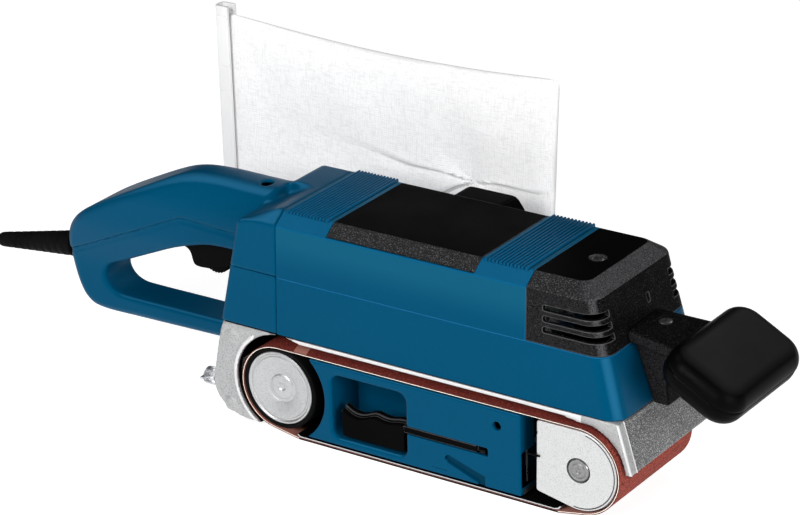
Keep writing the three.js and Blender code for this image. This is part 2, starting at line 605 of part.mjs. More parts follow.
function cableBoot() {
  const profile = [
    [0, 0], [3.8, 0], [4.5, 1.5], [7.8, 58.5], [5.9, 59.5], [5.9, 70.5], [7.4, 70.5], [7.4, 73.5], [0, 73.5],
  ];
  const boot = cut(turned("X", 0, 0, profile), rod("X", 0, 0, 3.4, -1, 74, 16));
  return alongCord(boot);
}

// ---- dust extraction ----
function dustPort() {
  const outline = [
    v2(-49, 86), v2(-3, 86), v2(-3, 112), v2(-12, 120.5), v2(-40, 120.5), v2(-49, 112),
  ];
  const hollow = outline.map((p) => v2(-26 + (p.x + 26) * 0.88, 103 + (p.y - 103) * 0.84));
  const elbow = cut(prism("Y", outline, 54.5, 72), prism("Y", hollow, 50, 69));
  const spout = rod("Y", ...SPOUT, SPOUT_R[1], 70, SPOUT_END, 28);
  const flange = cut(box(-54, 2, 54.4, 57, 80, 120), prism("Y", hollow, 50, 69));
  return cut(union(elbow, spout, flange), rod("Y", ...SPOUT, SPOUT_R[0], 65, 90, 28));
}

function dustBag() {
  const [x0, x1, z0, z1] = [-214, 6, 58, 182];
  const level = (y, inset) => [y, roundRect(x0 + inset, x1 - inset, z0 + inset, z1 - inset, 8)];
  const halves = [[-12.5, 16], [-8, 7], [0, 0], [8, 7], [12.5, 16]];
  return loft("Y", halves.map(([y, inset]) => level(BAG_Y + y, inset)));
}

function bagClip() {
  const rail = prism("Z", roundRect(-226.5, -216.5, BAG_Y - 4.5, BAG_Y + 4.5, 2.5, 2), 52, 188.5);
  return cut(rail, box(-224.4, -210, BAG_Y - 2.4, BAG_Y + 2.4, 50, 190));
}

// A cast frame that carries both cross shaft bearings and the rear motor bearing.
function gearCase() {
  const walls = [[-110, -61, -10, -4], [-110, -61, 31, 37], [-68, -61, -10, 37]];
  return cut(
    union(...walls.map(([x0, x1, y0, y1]) => box(x0, x1, y0, y1, 72, 112))),
    rod("Y", LAY_X, MOTOR_Z, 9.9, ...ACROSS, 32),
    rod("X", BODY_Y, MOTOR_Z, 11.4, -80, -50, 32),
  );
}

// ---- assembly ----
add("motor_housing", motorHousing(), BLUE);
add("top_panel", topPanel(), BLACK);
add("front_cap", frontCap(), BLACK);
rearShells();
add("base_casting", baseCasting(), CAST);
add("frame_plate", framePlate(), BLUE);
add("sole_plate", solePlate(), STEEL);
add("sole_pad", box(-75, 59.8, -33.4, 36.5, 2.5, 5.3), GRAPHITE);
add("sanding_belt", sandingBelt(), ABRASIVE);
drum();
add("roller_carriage", rollerCarriage(), NATURAL);
add("roller_axle", rod("Y", AXLE_X, AXLE_Z, 6.64, -36.8, 36.8, 28), STEEL);
add("front_roller", tube("Y", AXLE_X, AXLE_Z, 11.3, ROLL_R, -34, 34, 48), CAST);
add("roller_bearing_near", tube("Y", AXLE_X, AXLE_Z, 6.94, 11, -32, -24, 28), STEEL);
add("roller_bearing_far", tube("Y", AXLE_X, AXLE_Z, 6.94, 11, 24, 32, 28), STEEL);
add("tension_lever", tensionLever(), BLACK);
add("lever_pin", rod("Z", LEVER_X, LEVER_Y, 1.8, 6.5, 46.7, 16), STEEL);
add("tension_spring", springAlong(0, 27.5, 40, 63.4, 10, 1.1, 4), STEEL);
add("tracking_screw", trackingScrew(), STEEL);
motor();
crossShaft();
add("gear_case", gearCase(), CAST);
add("drive_belt", driveBelt(), RUBBER);
add("drive_cover", driveCover(), BLACK);
frontHandle();
controls();
add("cable_boot", cableBoot(), RUBBER);
add("cap_screw", screw("Z", 81, 7.3, 112, TOP_Z + GAP, TOP_Z + 1.5, 1.8, 3.6), STEEL);
add("handle_screw", screw("Z", -131, 8, 100, 120, 122, 1.6, 3), STEEL);
for (const [end, x, z] of COVER_SCREWS) {
  add(`cover_screw_${end}`, cut(coverScrew(x, z), rod("Y", x, z, 1.2, 55.4, 57, 6)), STEEL);
}
add("dust_port", dustPort(), BLACK);
add("bag_collar", tube("Y", ...SPOUT, SPOUT_R[1] + GAP, 17, 74, 81.2, 28), BLACK);
add("dust_bag", dustBag(), NATURAL);
add("bag_clip", bagClip(), NATURAL);

export default sander;
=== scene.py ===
"""Looks of the handheld belt sander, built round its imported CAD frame.

Lengths are millimetres until a mesh is made.
"""
import json
import math

import bmesh
import bpy
import numpy as np
from mathutils import Matrix, Vector

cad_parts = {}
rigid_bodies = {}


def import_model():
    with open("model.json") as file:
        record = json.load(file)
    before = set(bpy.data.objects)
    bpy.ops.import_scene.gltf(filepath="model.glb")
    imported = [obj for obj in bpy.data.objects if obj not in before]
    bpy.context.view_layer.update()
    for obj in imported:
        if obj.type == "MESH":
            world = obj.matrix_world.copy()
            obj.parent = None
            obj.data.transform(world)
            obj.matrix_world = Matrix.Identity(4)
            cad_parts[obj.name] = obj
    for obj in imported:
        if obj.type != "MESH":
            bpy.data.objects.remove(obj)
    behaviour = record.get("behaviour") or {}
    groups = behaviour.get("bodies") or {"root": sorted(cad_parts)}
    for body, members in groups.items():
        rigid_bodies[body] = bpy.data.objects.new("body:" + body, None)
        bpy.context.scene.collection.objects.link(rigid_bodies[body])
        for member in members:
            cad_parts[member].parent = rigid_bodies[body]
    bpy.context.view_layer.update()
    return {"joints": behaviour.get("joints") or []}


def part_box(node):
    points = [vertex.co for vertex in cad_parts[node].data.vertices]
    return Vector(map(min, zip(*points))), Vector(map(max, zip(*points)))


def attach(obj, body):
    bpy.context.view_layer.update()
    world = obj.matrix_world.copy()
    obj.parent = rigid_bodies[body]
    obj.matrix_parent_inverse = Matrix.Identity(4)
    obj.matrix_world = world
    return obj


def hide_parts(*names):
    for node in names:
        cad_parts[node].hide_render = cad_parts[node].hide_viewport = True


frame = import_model()
MM = 0.001


# ---- sizes taken from the frame ----
def span(node):
    """A CAD node's box: rows x, y, z and columns low, high."""
    return np.array(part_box(node)).T / MM


def joint_point(name):
    joint = next(j for j in frame["joints"] if j["name"] == name)
    return np.array(joint["pos_m"]) / MM


(SEAM, NOSE), (LEFT, RIGHT), (BASE_Z, TOP_Z) = span("motor_housing")
MID = (LEFT + RIGHT) / 2
BASE_W = (RIGHT - LEFT) / 2
EDGE_Z, EDGE_W = TOP_Z - 6.4, BASE_W - 3.2
TOP_W = BASE_W - 12.05
NOSE_LEAN = 0.266
CAP_X, CAP_Z = span("front_cap")[0][0], span("front_cap")[2][0]
PANEL = span("top_panel")[0]
DRUM = joint_point("drum_spin")
ROLLER = joint_point("roller_spin")
HALF = span("sanding_belt")[1][1]
WRAP_R = span("sanding_belt")[0][1] - ROLLER[0]
BELT_THICK = 1.1
SOLE_HALF = 83
SEAM_GAP = 0.3  # gap kept at a parting line
FAR = (-90, 120)  # an extent wider than the machine
WALL = 2.6


# ---- distance fields: negative inside, millimetres ----
def both(a, b, r=0.0):
    """Intersection of two fields with an edge rounded to r."""
    if not r:
        return np.maximum(a, b)
    return np.minimum(np.maximum(a, b), -r) + np.hypot(np.maximum(a + r, 0), np.maximum(b + r, 0))


def either(a, b, r=0.0):
    """Union of two fields with a fillet of radius r."""
    return -both(-a, -b, r)


def without(a, b, r=0.0):
    return both(a, -b, r)


def slab(u, low, high, r=0.0):
    return both(low - u, u - high, r)


def block(x, y, z, xs, ys, zs, r=0.8):
    return both(both(slab(x, *xs), slab(y, *ys), r), slab(z, *zs), r)


def outline(points, u, v):
    """Signed distance to a closed outline."""
    points = np.asarray(points, float)
    shape = np.broadcast(u, v).shape
    nearest, inside = np.full(shape, 1e9), np.zeros(shape, bool)
    for (au, av), (bu, bv) in zip(points, np.roll(points, -1, 0)):
        du, dv = bu - au, bv - av
        t = np.clip(((u - au) * du + (v - av) * dv) / (du * du + dv * dv), 0, 1)
        nearest = np.minimum(nearest, np.hypot(u - au - t * du, v - av - t * dv))
        if dv:
            inside ^= ((av > v) != (bv > v)) & (u < au + (v - av) * du / dv)
    return np.where(inside, -nearest, nearest)


def field_mesh(field, low, high, step):
    """Surface nets: one vertex in each cell that the surface crosses, one quad round each crossed edge."""
    axes = [np.arange(a - 2 * step, b + 3 * step, step) for a, b in zip(low, high)]
    d = field(*np.meshgrid(*axes, indexing="ij", sparse=True))
    d = np.broadcast_to(d, [len(a) for a in axes])
    cells = np.array(d.shape) - 1
    total, count = np.zeros((*cells, 3)), np.zeros(cells)
    crossings = []
    for axis in range(3):
        u, v = [k for k in range(3) if k != axis]
        a = np.take(d, range(cells[axis]), axis)
        b = np.take(d, range(1, cells[axis] + 1), axis)
        crossed = (a < 0) != (b < 0)
        share = np.where(crossed, a / np.where(a == b, 1, a - b), 0)
        crossings.append((crossed, a < 0))
        for du in (0, 1):
            for dv in (0, 1):
                part = [slice(None)] * 3
                part[u] = slice(du, du + cells[u])
                part[v] = slice(dv, dv + cells[v])
                hit = crossed[tuple(part)]
                total[..., axis] += share[tuple(part)]
                total[..., u] += hit * du
                total[..., v] += hit * dv
                count += hit
    used = count > 0
    index = np.full(cells, -1)
    index[used] = np.arange(used.sum())
    where = np.argwhere(used)
    verts = (where + total[used] / count[used][:, None]) * step + [a[0] for a in axes]
    faces = []
    for axis, (crossed, a_inside) in enumerate(crossings):
        u, v = [(1, 2), (2, 0), (0, 1)][axis]
        at = np.argwhere(crossed)
        at = at[(at[:, u] > 0) & (at[:, v] > 0)]
        corner = []
        for du, dv in ((1, 1), (0, 1), (0, 0), (1, 0)):
            cell = at.copy()
            cell[:, u] -= du
            cell[:, v] -= dv
            corner.append(index[tuple(cell.T)])
        quads = np.stack(corner, 1)
        flip = ~a_inside[tuple(at.T)]
        quads[flip] = quads[flip][:, ::-1]
        faces.append(quads)
    return verts, np.concatenate(faces)


# ---- outlines and meshes ----
def arc(cu, cv, r, start, end, steps=12):
    turn = np.radians(np.linspace(start, end, steps + 1))
    return np.stack([cu + r * np.cos(turn), cv + r * np.sin(turn)], 1)


def circle(cu, cv, r, count=48):
    return arc(cu, cv, r, 0, 360, count)[:-1]


def rounded(u0, u1, v0, v1, r, steps=8):
    radii = r if hasattr(r, "__len__") else [r] * 4
    corners = [(u0, v0, 180), (u1, v0, 270), (u1, v1, 0), (u0, v1, 90)]
    rows = []
    for (u, v, start), radius in zip(corners, radii):
        cu, cv = u + (radius if u == u0 else -radius), v + (radius if v == v0 else -radius)
        rows.append(arc(cu, cv, radius, start, start + 90, steps))
    return np.concatenate(rows)


def soften(points, setback, steps=5, closed=False):
    """Replaces each corner of a line by a curve that starts and ends at most setback away from it."""
    points = np.asarray(points, float)
    made = [] if closed else [points[:1]]
    for i in range(0 if closed else 1, len(points) - (0 if closed else 1)):
        before, here, after = points[i - 1], points[i], points[(i + 1) % len(points)]
        leave, arrive = before - here, after - here
        a = here + leave * min(0.45, setback / np.linalg.norm(leave))
        b = here + arrive * min(0.45, setback / np.linalg.norm(arrive))
        t = np.linspace(0, 1, steps + 1)[:, None]
        made.append((1 - t) ** 2 * a + 2 * t * (1 - t) * here + t ** 2 * b)
    if not closed:
        made.append(points[-1:])
    return np.concatenate(made)


def spline(points, per=6):
    """A smooth curve through the points."""
    p = np.asarray(points, float)
    p = np.vstack([p[:1] * 2 - p[1:2], p, p[-1:] * 2 - p[-2:-1]])
    rows = []
    for a, b, c, d in zip(p, p[1:], p[2:], p[3:]):
        t = np.linspace(0, 1, per, endpoint=False)[:, None]
        rows.append(0.5 * (2 * b + (c - a) * t + (2 * a - 5 * b + 4 * c - d) * t**2 + (3 * b - a - 3 * c + d) * t**3))
    return np.vstack([*rows, p[-2:-1]])


def offset(points, inset):
    """A closed anticlockwise outline moved inwards."""
    ahead = np.roll(points, -1, 0) - points
    ahead /= np.maximum(np.linalg.norm(ahead, axis=1), 1e-9)[:, None]
    normal = np.stack([-ahead[:, 1], ahead[:, 0]], 1)
    mean = normal + np.roll(normal, 1, 0)
    mean /= np.maximum((mean**2).sum(1) / 2, 0.2)[:, None]
    return points + mean * inset


PLACE = {"X": (1, 2, 0), "Y": (0, 2, 1), "Z": (0, 1, 2)}  # where outline u, outline v and depth go


def placed(axis, uvd):
    u, v, d = PLACE[axis]
    made = np.zeros((len(uvd), 3))
    made[:, u], made[:, v], made[:, d] = uvd[:, 0], uvd[:, 1], uvd[:, 2]
    return made


def loops_mesh(loops, closed=False):
    """Quads between loops of equal length; the two ends are capped, or joined when closed."""
    count = len(loops[0])
    verts = np.concatenate(loops)
    rows = len(loops) if closed else len(loops) - 1
    faces = []
    for k in range(rows):
        a, b = k * count, ((k + 1) % len(loops)) * count
        faces += [(a + i, a + (i + 1) % count, b + (i + 1) % count, b + i) for i in range(count)]
    if not closed:
        faces.append(tuple(range(count))[::-1])
        faces.append(tuple(range(len(verts) - count, len(verts))))
    return verts, faces


def prism(axis, points, low, high, r=0.5, steps=3):
    """An outline pulled along an axis, with both ends' edges rounded to r."""
    points = np.asarray(points, float)
    area = (points[:, 0] * np.roll(points[:, 1], -1) - points[:, 1] * np.roll(points[:, 0], -1)).sum()
    if area < 0:
        points = points[::-1]
    if not r:
        levels = [(low, 0), (high, 0)]
    else:
        turns = [math.pi / 2 * k / steps for k in range(steps + 1)]
        levels = [(low + r - r * math.cos(t), r - r * math.sin(t)) for t in turns]
        levels += [(high - (d - low), inset) for d, inset in reversed(levels)]
    loops = []
    for depth, inset in levels:
        flat = offset(points, inset)
        loops.append(placed(axis, np.column_stack([flat, np.full(len(flat), depth)])))
    return loops_mesh(loops)


def turned(axis, cu, cv, profile, count=72, closed=False):
    """A turned piece from (radius, place along the axis) points; a closed profile makes a ring."""
    loops = []
    for r, d in profile:
        ring = circle(cu, cv, max(r, 0.02), count)
        loops.append(placed(axis, np.column_stack([ring, np.full(count, d)])))
    return loops_mesh(loops, closed)


def piece(name, mesh_data):
    """Makes an object from vertices in millimetres."""
    verts, faces = mesh_data
    mesh = bpy.data.meshes.new(name)
    mesh.from_pydata((np.asarray(verts) * MM).tolist(), [], [list(map(int, f)) for f in faces])
    obj = bpy.data.objects.new(name, mesh)
    bpy.context.scene.collection.objects.link(obj)
    return obj


def tidy(mesh, sharp):
    """Outward normals, smooth shading, and sharp edges above an angle."""
    work = bmesh.new()
    work.from_mesh(mesh)
    bmesh.ops.remove_doubles(work, verts=work.verts, dist=1e-6)
    bmesh.ops.recalc_face_normals(work, faces=work.faces)
    for face in work.faces:
        face.smooth = True
    for edge in work.edges:
        edge.smooth = edge.calc_face_angle(0) < math.radians(sharp)
    work.to_mesh(mesh)
    work.free()


def dress(obj, body, material, replaces=(), sharp=38):
    tidy(obj.data, sharp)
    if obj.data.materials:
        obj.data.materials[0] = material
    else:
        obj.data.materials.append(material)
    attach(obj, body)
    if replaces:
        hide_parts(*replaces)
    return obj


def flattened(obj):
    """Turns an object's modifiers into its mesh."""
    bpy.context.view_layer.update()
    evaluated = obj.evaluated_get(bpy.context.evaluated_depsgraph_get())
    mesh = bpy.data.meshes.new_from_object(evaluated)
    obj.modifiers.clear()
    obj.data = mesh
    return obj


def boolean(obj, operation, tools):
    for tool in tools:
        other = piece("tool", tool) if isinstance(tool, tuple) else tool
        for each in (obj, other):
            tidy(each.data, 30)
        change = obj.modifiers.new("change", "BOOLEAN")
        change.operation = operation
        change.solver = "EXACT"
        change.object = other
        flattened(obj)
        bpy.data.objects.remove(other)
    return obj


def cut(obj, *tools):
    return boolean(obj, "DIFFERENCE", tools)


def join(obj, *tools):
    return boolean(obj, "UNION", tools)


def common(obj, *tools):
    return boolean(obj, "INTERSECT", tools)


def bevelled(obj, width=0.35, segments=2, angle=40, edge=None):
    """Rounds sharp edges; with an edge material the narrow faces show it, a painted highlight along the edges."""
    if edge:
        obj.data.materials.clear()
        obj.data.materials.append(None)
        obj.data.materials.append(edge)
    change = obj.modifiers.new("bevel", "BEVEL")
    change.material = 1 if edge else -1
    change.width = width * MM
    change.segments = segments
    change.limit_method = "ANGLE"
    change.angle_limit = math.radians(angle)
    change.use_clamp_overlap = False
    change.miter_outer = "MITER_ARC"
    return flattened(obj)


def weighted(obj):
    change = obj.modifiers.new("normals", "WEIGHTED_NORMAL")
    change.keep_sharp = True
    return obj


def merged(*parts):
    """Several mesh data sets as one."""
    verts, faces, start = [], [], 0
    for v, f in parts:
        verts.append(v)
        faces += [tuple(int(i) + start for i in face) for face in f]
        start += len(v)
    return np.concatenate(verts), faces


# ---- materials ----
class Shader:
    """A node material with a principled shader and object coordinates."""

    def __init__(self, name, colour, rough, metal=0.0, **sockets):
        self.material = bpy.data.materials.new(name)
        self.material.use_nodes = True
        self.tree = self.material.node_tree
        self.shader = self.tree.nodes["Principled BSDF"]
        self.colour = (*colour, 1.0)
        self.shader.inputs["Base Color"].default_value = self.colour
        self.shader.inputs["Roughness"].default_value = rough
        self.shader.inputs["Metallic"].default_value = metal
        for socket, value in sockets.items():
            self.shader.inputs[socket.replace("_", " ")].default_value = value
        self.coords = self.node("ShaderNodeTexCoord").outputs["Object"]
        self.normal = None

    def node(self, kind, **values):
        made = self.tree.nodes.new(kind)
        for key, value in values.items():
            if key in made.inputs:
                made.inputs[key].default_value = value
            else:
                setattr(made, key, value)
        return made

    def link(self, a, b):
        self.tree.links.new(a, b)

    def noise(self, scale, detail=3.0, stretch=(1, 1, 1)):
        mapping = self.node("ShaderNodeMapping")
        mapping.inputs["Scale"].default_value = stretch
        self.link(self.coords, mapping.inputs["Vector"])
        noise = self.node("ShaderNodeTexNoise", Scale=scale, Detail=detail)
        self.link(mapping.outputs[0], noise.inputs["Vector"])
        return noise.outputs["Fac"]

    def ramp(self, source, low, high, a=0.0, b=1.0):
        made = self.node("ShaderNodeMapRange")
        for key, value in (("From Min", low), ("From Max", high), ("To Min", a), ("To Max", b)):
            made.inputs[key].default_value = value
        self.link(source, made.inputs["Value"])
        return made.outputs[0]

    def tint(self, factor, colour):
        """Mixes a colour over what the base colour is so far."""
        mix = self.node("ShaderNodeMix", data_type="RGBA")
        base = self.shader.inputs["Base Color"]
        if base.is_linked:
            self.link(base.links[0].from_socket, mix.inputs[6])
        else:
            mix.inputs[6].default_value = base.default_value
        mix.inputs[7].default_value = (*colour, 1.0)
        self.link(factor, mix.inputs[0])
        self.link(mix.outputs[2], base)
        return self

    def mottle(self, scale, colour, low=0.35, high=0.75, amount=1.0, stretch=(1, 1, 1)):
        return self.tint(self.ramp(self.noise(scale, 4.0, stretch), low, high, 0, amount), colour)

    def rough(self, scale, low, high):
        self.link(self.ramp(self.noise(scale, 4.0), 0.3, 0.7, low, high), self.shader.inputs["Roughness"])
        return self

    def bump(self, source, strength, distance):
        bump = self.node("ShaderNodeBump", Strength=strength, Distance=distance * MM)
        self.link(source, bump.inputs["Height"])
        if self.normal:
            self.link(self.normal, bump.inputs["Normal"])
        self.normal = bump.outputs[0]
        self.link(self.normal, self.shader.inputs["Normal"])
        return self

    def grain(self, size, strength, distance=0.1, stretch=(1, 1, 1)):
        return self.bump(self.noise(1 / (size * MM), 2.0, stretch), strength, distance)

    def facing(self, direction, colour, low, high):
        """Tints what faces one way: painted light and shade by the way a surface points."""
        dot = self.node("ShaderNodeVectorMath", operation="DOT_PRODUCT")
        self.link(self.node("ShaderNodeTexCoord").outputs["Normal"], dot.inputs[0])
        dot.inputs[1].default_value = Vector(direction).normalized()
        return self.tint(self.ramp(dot.outputs["Value"], low, high), colour)

    def height(self, low, high, colour, amount=1.0):
        """Tints between two heights in millimetres."""
        parts = self.node("ShaderNodeSeparateXYZ")
        self.link(self.coords, parts.inputs[0])
        return self.tint(self.ramp(parts.outputs["Z"], low * MM, high * MM, 0, amount), colour)

    def wear_and_edge_highlight(self, colour, amount):
        """Lighter edges, broken up by noise: rubbed wear and a painted edge highlight."""
        edge = self.ramp(self.node("ShaderNodeNewGeometry").outputs["Pointiness"], 0.53, 0.6)
        patch = self.ramp(self.noise(90), 0.45, 0.7)
        wear_and_edge_highlight = self.node("ShaderNodeMath", operation="MULTIPLY")
        self.link(edge, wear_and_edge_highlight.inputs[0])
        self.link(patch, wear_and_edge_highlight.inputs[1])
        return self.tint(self.ramp(wear_and_edge_highlight.outputs[0], 0, 1, 0, amount), colour)


def paint_faces(obj, material, test):
    """Gives a second material to the faces whose centre (mm) and normal pass a test."""
    obj.data.materials.append(material)
    last = len(obj.data.materials) - 1
    for face in obj.data.polygons:
        if test(face.center / MM, face.normal):
            face.material_index = last


# light scales the colour for lit and shaded copies of the blue: painted light and shade
def blue_plastic(name, light=1.0, wear_and_edge_highlight=0.0, faces=(), top=None):
    def shade(*colour):
        return tuple(light * c for c in colour)

    pale = 0.004 * max(light - 1, 0)
    s = Shader(name, shade(pale, 0.056, 0.122), 0.42, Specular_IOR_Level=0.1)
    s.shader.inputs["Specular Tint"].default_value = (0.02, 0.6, 1.0, 1.0)
    s.mottle(9, shade(pale, 0.061, 0.132), 0.4, 0.7, 0.5).mottle(900, shade(pale, 0.047, 0.103), 0.45, 0.7, 0.4)
    s.rough(30, 0.36, 0.5)
    # faces: painted light and shade on what faces each direction
    for direction, value, low, high in faces:
        s.facing(direction, (0.006 * value, 0.056 * value, 0.112 * value), low, high)
    # top: painted light, lighter between the two heights
    if top:
        s.height(*top, shade(0.006, 0.09, 0.158), 0.6)
    # lighter edges: wear and a painted edge highlight
    if wear_and_edge_highlight:
        s.wear_and_edge_highlight((0.03, 0.16, 0.25), wear_and_edge_highlight)
    return s.grain(0.35, 0.25, 0.05).material


def grey(value):
    return (value, value, 1.06 * value)


def black_plastic(name, size, strength, rough=0.45, specular=0.12, base=0.0022, speckle=0.0, faces=()):
    """Moulded black plastic; faces lists (direction, grey value, low, high) for painted light on what faces that way.
    """
    s = Shader(name, grey(base), rough, Specular_IOR_Level=specular)
    s.mottle(14, grey(1.8 * base), 0.45, 0.75, 0.6).rough(40, rough - 0.08, rough + 0.08)
    for direction, value, low, high in faces:
        s.facing(direction, grey(value), low, high)
    # speckle: bright grains, painted glints on the grain
    if speckle:
        s.mottle(1500, grey(0.16), 0.52, 0.66, speckle).mottle(1300, grey(base), 0.5, 0.62, 0.9)
    return s.grain(size, strength, 0.12).material


def cast_metal():
    s = Shader("cast_aluminium", (0.42, 0.425, 0.43), 0.5, 0.45)
    s.mottle(1500, (0.19, 0.19, 0.19), 0.52, 0.64, 0.8).mottle(60, (0.48, 0.48, 0.48), 0.5, 0.75, 0.5)
    return s.rough(300, 0.4, 0.66).grain(0.7, 0.55, 0.2).grain(2.5, 0.3, 0.3).material


def dark_cast():
    # a shaded copy of the cast aluminium for the apron's front: painted shade, darker still towards its top under the
    # housing
    s = Shader("apron_aluminium_shaded", (0.11, 0.112, 0.116), 0.5, 0.35)
    s.mottle(60, (0.24, 0.24, 0.24), 0.45, 0.7, 0.8).height(44, 56, (0.05, 0.05, 0.052), 0.8)
    s.mottle(1700, (0.55, 0.55, 0.55), 0.5, 0.62, 0.8).mottle(1400, (0.04, 0.04, 0.04), 0.5, 0.6, 0.7)
    return s.rough(300, 0.4, 0.66).grain(0.7, 0.6, 0.2).material


def machined(name, colour, rough, centre):
    """Turned metal: fine rings round a centre line along Y."""
    s = Shader(name, colour, rough, 0.75)
    place = s.node("ShaderNodeMapping")
    place.inputs["Location"].default_value = [-c * MM for c in centre]
    s.link(s.coords, place.inputs["Vector"])
    rings = s.node("ShaderNodeTexWave", wave_type="RINGS", rings_direction="Y", Scale=900.0, Distortion=1.5)
    rings.inputs["Detail"].default_value = 2.0
    s.link(place.outputs[0], rings.inputs["Vector"])
    s.bump(rings.outputs["Fac"], 0.12, 0.05)
    s.mottle(1400, tuple(0.7 * c for c in colour), 0.5, 0.68, 0.8)
    return s.rough(200, rough - 0.06, rough + 0.12).material


def plain_metal(name, colour, rough, metal=0.9):
    s = Shader(name, colour, rough, metal)
    s.mottle(120, tuple(0.75 * c for c in colour), 0.5, 0.75, 0.5)
    return s.rough(160, rough - 0.05, rough + 0.12).grain(0.4, 0.1, 0.05, (1, 8, 1)).material


def rubber():
    s = Shader("rubber", grey(0.0025), 0.62, Specular_IOR_Level=0.03)
    return s.mottle(50, grey(0.006)).rough(80, 0.5, 0.75).grain(0.3, 0.3, 0.1).material


def abrasive():
    s = Shader("abrasive_grit", (0.2, 0.024, 0.015), 0.9, Specular_IOR_Level=0.2)
    # painted light on the grit where it faces the front
    s.mottle(25, (0.28, 0.04, 0.026), 0.45, 0.7, 0.5).facing((1, 0, 0.2), (0.34, 0.065, 0.045), 0.5, 0.95)
    s.mottle(1300, (0.05, 0.01, 0.008), 0.48, 0.58, 0.9).mottle(900, (0.42, 0.09, 0.06), 0.6, 0.7, 0.7)
    return s.grain(0.45, 0.9, 0.35).material


def cloth(name, colour, pitch=0.55, dark=0.85, glow=0.0):
    """A plain weave: two crossed sets of threads."""
    def darker(share):
        return tuple(share * c for c in colour)

    s = Shader(name, colour, 0.9, Sheen_Weight=0.2, Sheen_Roughness=0.5, Specular_IOR_Level=0.1)
    # glow: emission that brightens the cloth, painted light
    s.shader.inputs["Emission Color"].default_value = (1, 1, 1, 1)
    s.shader.inputs["Emission Strength"].default_value = glow
    bands = 1 / (pitch * MM) / 20 * 6.2832 / 2  # a wave texture of scale 1 has 20 radians a metre
    threads = []
    for direction in ("X", "Z"):
        wave = s.node("ShaderNodeTexWave", bands_direction=direction, Scale=bands, Distortion=0.6)
        wave.inputs["Detail"].default_value = 1.0
        s.link(s.coords, wave.inputs["Vector"])
        threads.append(wave.outputs["Fac"])
    weave = s.node("ShaderNodeMath", operation="MULTIPLY")
    s.link(threads[0], weave.inputs[0])
    s.link(threads[1], weave.inputs[1])
    s.tint(s.ramp(weave.outputs[0], 0.0, 0.9, 0.55, 0.0), darker(dark))
    s.mottle(35, darker(0.93), 0.45, 0.75, 0.8)
    s.mottle(700, darker(0.68), 0.56, 0.72, 0.6)
    for stretch in ((1, 1, 0.12), (0.12, 1, 1)):
        s.mottle(1300, darker(0.72), 0.5, 0.7, 0.8, stretch)
    # painted shade on faces turned to the front and to the top
    s.facing((1, 0, 0), darker(0.5), 0.5, 0.95)
    s.facing((0, 0, 1), darker(0.6), 0.6, 0.98)
    # painted shade in the creases
    hollow = s.node("ShaderNodeNewGeometry").outputs["Pointiness"]
    s.tint(s.ramp(hollow, 0.492, 0.465, 0, 0.8), darker(0.25))
    return s.bump(weave.outputs[0], 0.5, 0.12).grain(14, 0.25, 1.2).material


def white_plastic():
    s = Shader("white_plastic", (0.8, 0.8, 0.8), 0.4)
    return s.mottle(40, (0.78, 0.78, 0.77), 0.45, 0.75, 0.6).rough(60, 0.32, 0.5).grain(0.6, 0.15, 0.06).material


# painted highlight on the nose corner and painted light on the upper sides
BLUE = blue_plastic("blue_plastic", 1.0, 0.0, (((0.76, -0.64, 0.1), 1.9, 0.94, 1.0),), (98, 112))
# painted highlight along the grip's top, painted shade on faces turned back and to the near side, lighter edges from
# wear and painted highlight
BLUE_SOFT = blue_plastic("blue_shell_plastic", 1.0, 0.35, (
    ((-0.1, -0.5, 0.86), 2.0, 0.93, 1.0), ((-0.7, -0.7, 0.1), 0.75, 0.85, 1.0),
))
BLUE_DARK = blue_plastic("blue_shade", 0.5)
# a lit copy of the blue: painted highlight on edges and bevels
BLUE_EDGE_HIGHLIGHT = blue_plastic("blue_edge_highlight", 2.3)
# a lit copy of the blue for the ribs: painted light
BLUE_RIB_LIT = blue_plastic("blue_rib_lit", 1.6)
# a lit copy of the blue for chamfers and upward faces: painted light
BLUE_CHAMFER_LIT = blue_plastic("blue_chamfer_lit", 1.5)
BLACK = black_plastic("black_plastic", 0.5, 0.35, 0.42, 0.02)
# a lit copy of the black: painted highlight on edges and bevels
BLACK_EDGE_HIGHLIGHT = black_plastic("black_edge_highlight", 0.5, 0.35, 0.38, 0.4, 0.05)
# painted light on faces towards the near side and a painted highlight on the near front corner
GRAINED = black_plastic("grained_black_plastic", 0.9, 0.8, 0.5, 0.015, 0.0025, 0.16, (
    ((0, -1, 0.1), 0.013, 0.75, 0.95), ((0.62, -0.68, 0.3), 0.07, 0.95, 1.0),
))
# a lit copy of the grained black for chamfers: painted light, a painted highlight towards the front and dense painted
# glints
CHAMFER = black_plastic("chamfer_black_plastic_lit", 0.8, 1.0, 0.5, 0.12, 0.009, 0.65, (
    ((0.8, -0.2, 0.6), 0.05, 0.6, 0.98),
))
# painted shade for hollows and insides the light does not reach
DARK = black_plastic("painted_shade_inside", 2.0, 0.5, 0.8, 0.02)
# painted sheen on the knob's upward faces
KNOB = black_plastic("knob_black_plastic", 1.6, 0.28, 0.42, 0.03, 0.0012, 0.0, (
    ((0.4, 0.0, 0.92), 0.0125, 0.78, 1.0),
))
GLOSS = black_plastic("gloss_black_plastic", 1.2, 0.15, 0.4, 0.004, 0.0026)
CAST = cast_metal()
